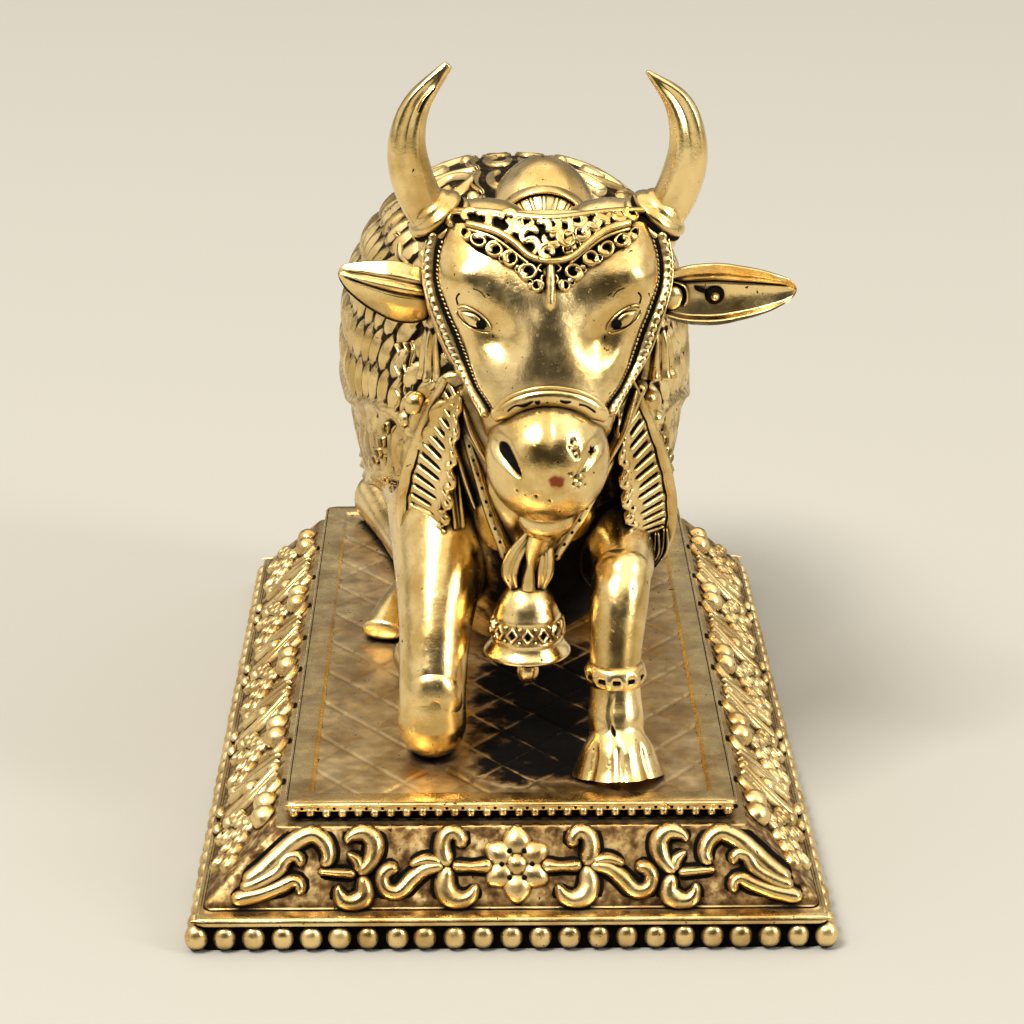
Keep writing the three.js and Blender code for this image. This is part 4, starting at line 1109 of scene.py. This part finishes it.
def strap(pile, points, width, rise, kind="round", root=0.9, holes=0.0, sides=9):
    """A band along points, root deep, with dark holes a given distance apart."""
    patch, length = path_patch(points)
    stroke(pile, patch, [(0, 0), (length / 2, 0), (length, 0)], width, rise, kind, sides,
           base=root)
    if holes:
        for i in range(int(length / holes)):
            dome(pile, patch, ((i + 0.6) * holes, 0), (0.22, 0.17), 0.04, "pit", lift=rise,
                 rings=4, sides=12)


# the collar wings' outer and inner edges: mm from the collar's line, then y and z
COLLAR_LINE = 1.9
COLLAR_OUTER = [(6.1, -15.9, 24.8), (7.6, -15.4, 21.8), (8.8, -15, 18.4), (9.3, -14.6, 15.4),
                (8.9, -14.8, 13), (7.4, -16, 11.6)]
COLLAR_INNER = [(4.9, -17.4, 23.8), (5.2, -18, 20.6), (5.4, -18, 17.6), (5.8, -17.6, 15.2),
                (6.2, -17.2, 13.9), (6.2, -17, 12.6)]


def wing(pile, hand):
    """Fringed collar wing: a smooth rim, slits between ribs, a scalloped edge with holes."""
    core = np.array([COLLAR_LINE, -8, 17])

    def rim(points, s):
        p = np.array(points, float)
        p[:, 0] = COLLAR_LINE + hand * p[:, 0]
        return spline(p, s)

    steps, ribs = 300, 21
    s = np.linspace(0, 1, steps)[:, None]
    q = np.linspace(0, 1, 36)[None, :]
    reach = 1 - 0.1 * np.abs(np.sin(pi * (s * 9 - 0.25))) ** 4
    phase = (s * ribs - 1.1 * q + 0.2 * np.sin(3 * q)) % 1
    slit = bump(phase, 0.5, 0.16) * smooth(q, 0.2, 0.27) * fade(q, 0.6, 0.7)
    rim_band = smooth(q, -0.02, 0.04) * fade(q, 0.11, 0.16)
    ring = bump(np.hypot((phase - 0.98 + (phase < 0.48)) * 1.3, (q - 0.88) * 6), 0, 0.3)
    h = 0.12 + 0.42 * rim_band + 0.2 * smooth(q, 0.8, 0.88) - 0.36 * slit - 0.3 * ring
    h = h - 0.2 * smooth(q, 0.96, 1.0)
    tone = clamp(0.95 - 1.1 * slit - 1.1 * ring - 0.9 * bump(q, 0.18, 0.04)
                 - 0.2 * bump(q, 0.5, 0.2))
    outer, inner = rim(COLLAR_OUTER, s + 0 * q), rim(COLLAR_INNER, s + 0 * q)
    away = unit((outer + inner) / 2 - core)
    face = outer + (inner - outer) * (q * reach)[..., None] + away * h[..., None]
    edge, fringe = face[:, 0], face[:, -1]
    back = edge * 0.6 + core * 0.4
    w = np.linspace(0, 1, 7)[1:-1]
    under = [fringe * (1 - k) + back * k for k in w] + [back]
    under += [back * (1 - k) + edge * k for k in w]
    # the sheet behind the wing is painted near black as shade under the flap
    pile.grid(np.concatenate([face, np.stack(under, 1)], 1),
              np.concatenate([tone, np.full((steps, len(under)), 0.08)], 1))
    # curled leaves under the wing's tip
    tip = COLLAR_LINE + hand * 6.6
    for k in range(5):
        strap(pile, [(tip + hand * (2.1 - 0.6 * k), -15.5 - 0.42 * k, 14.2 - 0.15 * k),
                     (tip + hand * (2.0 - 0.6 * k), -15.9 - 0.38 * k, 12.6 - 0.1 * k),
                     (tip + hand * (1.2 - 0.55 * k), -16.4 - 0.25 * k, 11.5 + 0.1 * k)],
              (0.24, 0.4, 0.14), 0.35, "crease", sides=11)
    ellipsoid(pile, (tip - hand * 0.7, -17.3, 13.4), (0.5, 0.45, 0.5), 12, 16)


def neck_straps(pile, hand):
    """Straps down the chest, then wavy bands and ring pendants behind the collar."""
    def x(value):
        return value if hand < 0 else 2.15 - value

    strap(pile, [(FACE + hand * 6.4, -15.6, 24.4), (2.2 + hand * 4.5, -17.45, 19.6),
                 (1.8 + hand * 3.0, -18.2, 16), (1.4 + hand * 1.5, -18.7, 13)],
          0.52, 0.4, "flat", root=1.4, holes=0.95)
    strap(pile, [(FACE + hand * 5.9, -16.3, 24.2), (FACE + hand * 5.0, -17.6, 21.6),
                 (FACE + hand * 3.8, -18.2, 19.4)], (0.34, 0.4, 0.3), 0.5, root=1.4)
    if hand < 0:
        apex = (-3.85, -17.0, 21.4)
        strap(pile, [apex, (-4.3, -16.9, 18.6), (-4.65, -17.0, 16.0)], 0.26, 0.3, root=1.2)
        strap(pile, [apex, (-3.6, -17.2, 17.6), (-3.3, -17.5, 14.6)], (0.3, 0.55, 0.5), 0.3,
              "rim", root=1.2, sides=11)
        strap(pile, [apex, (-3.1, -17.4, 18.8), (-2.2, -17.7, 16.2)], (0.24, 0.36, 0.2), 0.3,
              root=1.2)
    line = [(x(-7.3), -11.9, 26.4), (x(-7.25), -12.9, 24.0), (x(-7.25), -13.2, 21.6),
            (x(-7.6), -12.7, 19.6), (x(-8.2), -10.9, 17.4), (x(-8.7), -8.6, 15.8)]
    patch, length = path_patch(line, unit(np.array([hand * 0.7, -0.7, 0.0])))
    for v, wide, sway, kind in ((-0.1, 0.3, 0.22, "round"), (0.75, 0.24, 0.16, "round"),
                                (1.45, 0.28, 0.2, "crease")):
        wave = [(u, hand * v + sway * (-1) ** k)
                for k, u in enumerate(np.linspace(0.2, length - 0.2, 17))]
        stroke(pile, patch, wave, wide, 0.32, kind, base=0.9)
    for k in range(4):
        pendant = (length * (0.52 + 0.13 * k), -hand * 0.85)
        dome(pile, patch, pendant, (0.8, 0.46), 0.5, "ring", sides=22, rings=9, base=0.8)
        dome(pile, patch, pendant, (0.3, 0.2), 0.34, sides=12, rings=5)


# the bell's outside and inside: radius, height, and wear from the lip up; the inside is painted
# near black as shade
BELL_OUTER = [
    (2.62, 0.02, 0.5), (2.86, 0.0, 1), (2.94, 0.1, 1), (2.9, 0.3, 0.95), (2.72, 0.5, 0.8),
    (2.52, 0.85, 0.6), (2.44, 1.05, 0.35), (2.4, 1.2, 0.3), (2.45, 1.32, 0.85),
    (2.4, 1.45, 0.5), (2.34, 1.6, 0.3), (2.32, 2.3, 0.3), (2.24, 2.95, 0.35), (2.27, 3.1, 0.9),
    (2.15, 3.3, 0.45), (2.0, 3.85, 0.8), (1.76, 4.5, 0.9), (1.36, 5.15, 0.9), (0.8, 5.6, 0.8),
    (0.1, 5.78, 0.5)]
# inside of the bell: painted shade, near black
BELL_INNER = [(2.5, 0.08, 0.05), (2.2, 0.5, 0.05), (1.7, 1.2, 0.05), (0.9, 1.7, 0.05),
              (0.05, 1.9, 0.05)]


def bell(pile):
    """The bell with its net of diamonds and its clapper."""
    middle, squeeze = np.array([1.2, -19.0, 6.6]), np.array([1, 1, 0.88])
    for profile, inward in ((BELL_OUTER, False), (BELL_INNER, True)):
        rings = np.array([[(r * cos(a), r * sin(a), z) for a in around(96)]
                          for r, z, _ in profile])
        pile.grid(rings * squeeze + middle, np.array(profile)[:, 2:], inward=inward)
    radii, heights = np.array(BELL_OUTER)[3:-1, 0], np.array(BELL_OUTER)[3:-1, 1]

    def patch(u, v, h):
        r = np.interp(v, heights, radii) + h
        return np.stack([middle[0] + r * np.sin(u / 2.1), middle[1] - r * np.cos(u / 2.1),
                         middle[2] + squeeze[2] * v + 0 * u], -1)

    def diamond(a):
        return (np.abs(np.cos(a)) + np.abs(np.sin(a))) ** -1.0 * 1.15

    diamonds = 14
    step = 2 * pi * 2.1 / diamonds
    for k in range(diamonds):
        dome(pile, patch, (k * step, 2.2), (0.4, 0.66), 0.26, "ring", sides=20, rings=8,
             outline=diamond)
        dome(pile, patch, (k * step, 2.2), (0.22, 0.42), 0.05, "pit", sides=12, rings=4)
        for v in (1.7, 2.75):
            dome(pile, patch, ((k + 0.5) * step, v), (0.17, 0.2), 0.2, sides=10, rings=4)
    ellipsoid(pile, (1.25, -19.5, 5.35), (0.74, 0.74, 0.86), 20, 28, wear=0.95)
    Form([(1.2, -19.4, 5.2, 0.34, 0.34), (1.2, -19, 8.2, 0.3, 0.3)], FRONT).skin(
        pile, 8, 16, wear=0.5)


def knot(pile):
    """Folded cloth between the muzzle and the bell, with a loop on each side."""
    def fold(t, angle):
        return bump(np.abs(turned_degrees(angle)), 16, 9) + 0 * t

    Form([(1.2, -19, 11.2, 0.75, 0.75), (1.5, -19.2, 12.6, 0.95, 0.7), (1.9, -19.5, 14, 0.9, 0.8),
          (2.3, -20.1, 16.2, 1.3, 1.1)], FRONT).skin(pile, 30, 32, wear=0.3)
    for hand in BOTH:
        Form([(1.75 + hand * 0.3, -20.2, 15.4, 0.4, 0.3),
              (1.45 + hand * 0.95, -19.9, 14.0, 0.55, 0.5),
              (1.2 + hand * 1.15, -19.7, 12.6, 0.62, 0.6),
              (1.2 + hand * 0.9, -19.6, 11.5, 0.36, 0.4)], FRONT).skin(
            pile, 36, 28, lambda t, angle: -0.2 * fold(t, angle),
            lambda t, angle: 0.95 - 0.7 * fold(t, angle))
    Form([(1.9, -20.8, 15.6, 0.55, 0.4), (1.55, -20.35, 14.4, 0.5, 0.4),
          (1.4, -20.1, 13.2, 0.3, 0.3), (1.3, -19.95, 12.2, 0.42, 0.36),
          (1.25, -19.9, 11.4, 0.5, 0.36)], FRONT).skin(pile, 36, 28, wear=0.92)


def bull_harness(pile):
    for hand in BOTH:
        wing(pile, hand)
    for hand in BOTH:
        neck_straps(pile, hand)
    bell(pile)
    knot(pile)


# ---------------------------------------------------------------- the bull's legs and tail

def dimpled(way):
    """A dent in the front of the knee knob."""
    away = np.hypot(way[..., 0] - 0.08 - 0.3 * way[..., 2] ** 2, 1.5 * (way[..., 2] - 0.1))
    return -0.26 * bump(away, 0, 0.12) * (way[..., 1] < 0)


def hoofed(t, angle):
    """Cleft and toes of the hoof, a crease up the shin, and a hollow over the hoof."""
    a = turned_degrees(angle)
    toes = -0.3 * bump(a, 0, 7) - 0.2 * bump(a, -42, 6) - 0.2 * bump(a, 42, 6) \
        + 0.16 * np.abs(np.cos(2 * angle))
    crease = bump(a, -4 + 10 * np.sin(14 * t), 3.5) * fade(t, 0.4, 0.46) * smooth(t, 0.2, 0.26)
    return fade(t, 0.16, 0.24) * toes - 0.22 * bump(t, 0.26, 0.04) - 0.14 * crease


def hoofed_wear(t, angle):
    return clamp(0.92 + 3.2 * np.minimum(hoofed(t, angle) + 0.05, 0))


def tufted(t, angle):
    """Strands of the tail's tuft under a ring."""
    strands = 0.16 * np.cos(9 * angle + 3 * t) - 0.1
    return strands * smooth(t, 0.62, 0.7) - 0.2 * bump(t, 0.6, 0.02)


def anklet_cells(way):
    """Height on the anklet from -1 to 1, and how far round from the nearest cell's middle."""
    a = np.arctan2(way[..., 0], -way[..., 1])
    return way[..., 2], np.abs((a * 12 / (2 * pi)) % 1 - 0.5)


def banded(way):
    """Rounded edges of the anklet and a row of sunk cells."""
    z, cells = anklet_cells(way)
    edges = bump(z, 0.62, 0.2) + bump(z, -0.62, 0.2)
    return 0.12 * edges - 0.3 * bump(z, 0, 0.22) * smooth(cells, 0.18, 0.3)


def banded_wear(way):
    z, cells = anklet_cells(way)
    return clamp(0.9 - 1.1 * bump(z, 0, 0.26) * smooth(cells, 0.15, 0.26)
                 - 0.8 * bump(np.abs(z), 0.93, 0.05))


def bull_limbs(pile):
    def leg(stations, lead, steps=44, sides=36, **more):
        Form(stations, lead).skin(pile, steps, sides, **more)

    # right foreleg kneels on its knee, with the cannon folded back
    leg([(-5.2, -21.4, 2.4, 2.3, 2.1), (-5.15, -20.6, 4.8, 2.26, 2.42),
         (-4.9, -17.6, 9, 2.6, 3.1), (-4.2, -12, 14, 4.1, 4.8)], FRONT, 80, 64, dome=1.08)
    ellipsoid(pile, (-5.2, -21.6, 2.2), (1.9, 1.8, 2.2), 40, 60)
    ellipsoid(pile, (-5.1, -21.85, 4.2), (1.95, 1.4, 2.5), 70, 90, dimpled,
              lambda way: 0.9 + 3 * dimpled(way))
    leg([(-5.2, -21, 1.7, 1.9, 1.7), (-5.6, -14, 1.5, 1.5, 1.5), (-6.2, -8, 1.8, 2, 1.8)], UP)

    # left foreleg is raised, its hoof flat on the plate
    leg([(7.15, -24.5, 0.02, 2.9, 3), (7.1, -24, 2, 2.2, 2.2), (7.0, -22.9, 4.6, 1.75, 1.75),
         (7.0, -22, 7.2, 1.7, 1.75), (7.3, -20.2, 10.6, 1.95, 2.05),
         (7.5, -19.1, 12.4, 1.95, 1.75)], FRONT, 110, 108, rise=hoofed, wear=hoofed_wear,
        open_foot=True, dome=0.9)
    ellipsoid(pile, (7.5, -19.0, 12.2), (1.98, 1.85, 1.7), 40, 56)
    leg([(7.5, -19.2, 12, 2, 2), (7.2, -15, 12.4, 2.9, 3.2), (6.4, -9, 12.9, 4, 4.8),
         (4.4, -3.5, 14.6, 3.2, 4.0)], UP)

    # hind legs lie folded on both sides, and the tail hangs beside them
    for hand, hoof in ((-1, 10.2), (1, 7.6)):
        def x(away):
            return MIDLINE + hand * away

        ellipsoid(pile, (x(6.2), 17, 9), (4.2, 8.8, 9.0), 40, 50)
        leg([(x(11.9), 26, 2, 1.4, 2.0), (x(9.4), 18.5, 1.4, 1.5, 1.4),
             (x(7.6), 9, 1.3, 1.4, 1.3), (x((hoof + 7.6) / 2), 3.2, 1.5, 1.4, 1.5),
             (x(hoof), -0.8, 0.9, 1.5, 0.9)], UP)
    leg([(1.2, 25.5, 20, 1.3, 1.3), (1.6, 27.8, 14, 0.9, 0.9), (2.6, 28, 7, 0.9, 0.8),
         (3.6, 27.6, 0.9, 1.2, 0.9)], FRONT, 60, 54, rise=tufted,
        wear=lambda t, angle: 0.85 + 2.5 * tufted(t, angle))
    ellipsoid(pile, (7.0, -22.3, 6.4), (2.1, 2.15, 1.1), 40, 120, banded, banded_wear)


# ---------------------------------------------------------------- pieces

for node, fill, material in (("plinth", plinth_body, plinth_brass),
                             ("plinth", plinth_trim, plinth_brass),
                             ("plinth", plinth_relief, plinth_brass),
                             ("plinth", plinth_field, plate_brass),
                             ("bull", bull_body, bull_brass), ("bull", bull_head, bull_brass),
                             ("bull", bull_face, bull_brass), ("bull", bull_crown, bull_brass),
                             ("bull", bull_harness, bull_brass),
                             ("bull", bull_limbs, bull_brass)):
    piece_pile = Pile()
    fill(piece_pile)
    piece_pile.build(fill.__name__, material, node,
                     SEAT if node == "bull" else 0.0)

# ---------------------------------------------------------------- floor, light, camera

paper = bpy.data.materials.new("cream_paper")
paper.use_nodes = True
paper_shader = paper.node_tree.nodes["Principled BSDF"]
paper_shader.inputs["Base Color"].default_value = (0.325, 0.311, 0.272, 1)
paper_shader.inputs["Roughness"].default_value = 0.9
bpy.ops.mesh.primitive_plane_add(size=16.0, location=(0, 0.6, -0.00002))
floor = bpy.context.object
floor.name = "floor"
floor.data.materials.append(paper)

# a light tent: bright overhead and on both sides, softer at the back, dim behind the camera
OVERHEAD, WALLS, BACKDROP, REST = 1.7, 0.85, 0.3, 0.07
world = bpy.data.worlds.new("studio")
bpy.context.scene.world = world
world.use_nodes = True
sky = Graph(world)
across, back, above = sky.add(
    "SeparateXYZ", Vector=sky.add("TexCoord").outputs["Generated"]).outputs[:3]
overhead = sky.math("MULTIPLY", sky.ramp(above, 0.55, 0.8), OVERHEAD)
sides = sky.math("MULTIPLY", sky.ramp(sky.math("ABSOLUTE", across), 0.5, 0.75),
                 sky.ramp(above, -0.05, 0.2))
walls = sky.math("MULTIPLY", sides, WALLS)
behind = sky.math("MULTIPLY", sky.ramp(back, 0.55, 0.85), sky.ramp(above, 0.0, 0.25))
backdrop = sky.math("MULTIPLY", behind, BACKDROP)
glow = sky.math("ADD", sky.math("ADD", sky.math("ADD", overhead, walls), backdrop), REST)
background = world.node_tree.nodes["Background"]
background.inputs[0].default_value = (1.0, 0.95, 0.86, 1)
sky.plug(background.inputs[1], glow)


def softbox(name, place, size, power, colour=(1, 1, 1)):
    """A rectangular lamp that looks at the figure's middle."""
    lamp = bpy.data.lights.new(name, "AREA")
    lamp.shape = "RECTANGLE"
    lamp.size, lamp.size_y = size
    lamp.energy, lamp.color = power, colour
    box = bpy.data.objects.new(name, lamp)
    bpy.context.scene.collection.objects.link(box)
    box.location = place
    aim = Vector((0, -0.01, 0.03)) - Vector(place)
    box.rotation_euler = aim.to_track_quat("-Z", "Y").to_euler()


softbox("key", (-0.55, -0.65, 1.15), (0.42, 0.42), 27, (1, 0.97, 0.93))
softbox("fill", (0.95, -0.5, 0.6), (0.25, 0.5), 7)

FOCAL_PIXELS, PHOTO_PIXELS = 2894.0, 1024
lens = bpy.data.cameras.new("camera")
lens.sensor_width = 36
lens.lens = FOCAL_PIXELS / PHOTO_PIXELS * lens.sensor_width
lens.clip_start, lens.clip_end = 0.01, 20
camera = bpy.data.objects.new("camera", lens)
bpy.context.scene.collection.objects.link(camera)
camera.location = (-0.00213, -0.1997, 0.0887)
camera.rotation_euler = (pi / 2 - 0.3390, 0, -0.0128)
bpy.context.scene.camera = camera
bpy.context.scene.view_settings.view_transform = "Standard"
